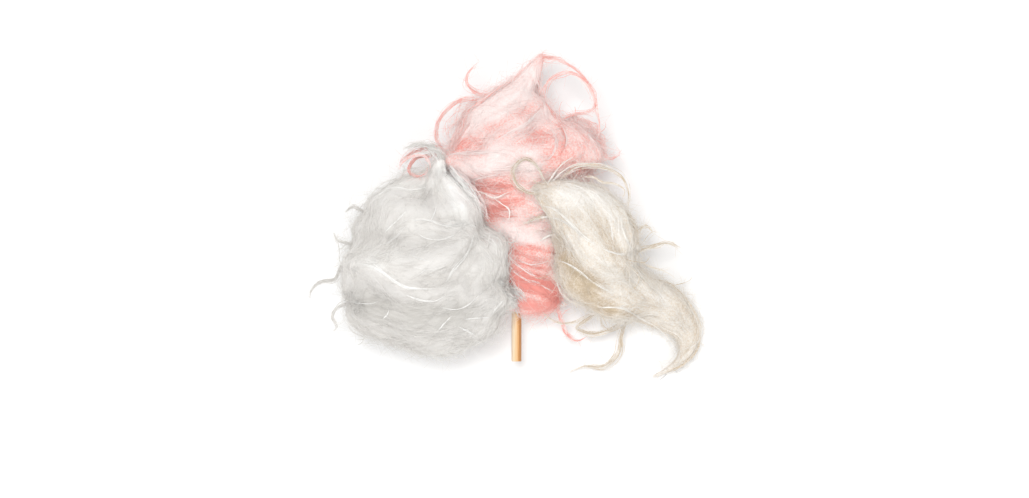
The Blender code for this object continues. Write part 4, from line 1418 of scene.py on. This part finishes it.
class AddStage(bpy.types.Operator):
    """Adds the pale floor, the studio light and the camera"""

    bl_idname = "candy.add_stage"
    bl_label = "Stage"

    def execute(self, context):
        scene = context.scene
        bpy.ops.object.select_all(action="DESELECT")
        bpy.ops.mesh.primitive_plane_add(size=12, location=(0, 0, -0.0005))
        floor = bpy.context.object
        floor.name = "floor"
        material, shader = new_material("pale_floor")
        # A light table: it glows a little, so that nearly no shadow falls on it.
        set_inputs(
            shader,
            {
                "Base Color": (0.9, 0.9, 0.9, 1),
                "Roughness": 0.9,
                "Specular IOR Level": 0.0,
                "Emission Color": (1, 1, 1, 1),
                "Emission Strength": 0.08,
            },
        )
        floor.data.materials.append(material)
        world = bpy.data.worlds.new("studio")
        world.use_nodes = True
        sky = world.node_tree.nodes["Background"]
        set_inputs(sky, {"Color": (1, 1, 1, 1), "Strength": 0.54})
        scene.world = world
        add_lamp("key", (-0.35, 0.55, 4.2), 1.4, 98)
        add_lamp("fill", (0.5, -2.6, 2.2), 2.0, 28)
        # The camera looks straight down, from far off so that upright flanks stay upright.
        centre = (np.array(VIEW_CENTRE) + SHIFT) * MM
        away = LENS / SENSOR * VIEW_WIDTH * MM
        place = (centre[0], centre[1], centre[2] + away)
        bpy.ops.object.camera_add(location=place, rotation=(0, 0, 0))
        camera = bpy.context.object
        camera.data.lens = LENS
        camera.data.sensor_width = SENSOR
        camera.data.clip_end = 50
        scene.camera = camera
        scene.view_settings.view_transform = "Standard"
        return {"FINISHED"}


class CandyPanel(bpy.types.Panel):
    """Lists the pieces of the cotton candy and their settings"""

    bl_idname = "VIEW3D_PT_cotton_candy"
    bl_label = "Cotton candy"
    bl_space_type = "VIEW_3D"
    bl_region_type = "UI"
    bl_category = "Cotton candy"

    def draw(self, context):
        column = self.layout.column()
        for operator in OPERATORS:
            column.operator(operator.bl_idname)
        for name in SETTINGS:
            group = getattr(context.scene, name)
            column.label(text=group.bl_rna.name)
            for key in type(group).__annotations__:
                column.prop(group, key)


OPERATORS = (AddWhiteFloss, AddCreamFloss, AddPinkFloss, AddThreads, AddStick, AddStage)
SETTINGS = {
    "candy_sizes": CandySizes,
    "pink_floss": PinkColours,
    "white_floss": WhiteColours,
    "cream_floss": CreamColours,
}
CLASSES = (*SETTINGS.values(), *OPERATORS, CandyPanel)


def register():
    for made in CLASSES:
        bpy.utils.register_class(made)
    for name, group in SETTINGS.items():
        setattr(bpy.types.Scene, name, bpy.props.PointerProperty(type=group))


def unregister():
    for name in SETTINGS:
        delattr(bpy.types.Scene, name)
    for made in reversed(CLASSES):
        bpy.utils.unregister_class(made)


def main():
    """Makes all the pieces and the stage."""
    register()
    for operator in OPERATORS:
        space, name = operator.bl_idname.split(".")
        getattr(getattr(bpy.ops, space), name)()


if __name__ == "__main__":
    main()
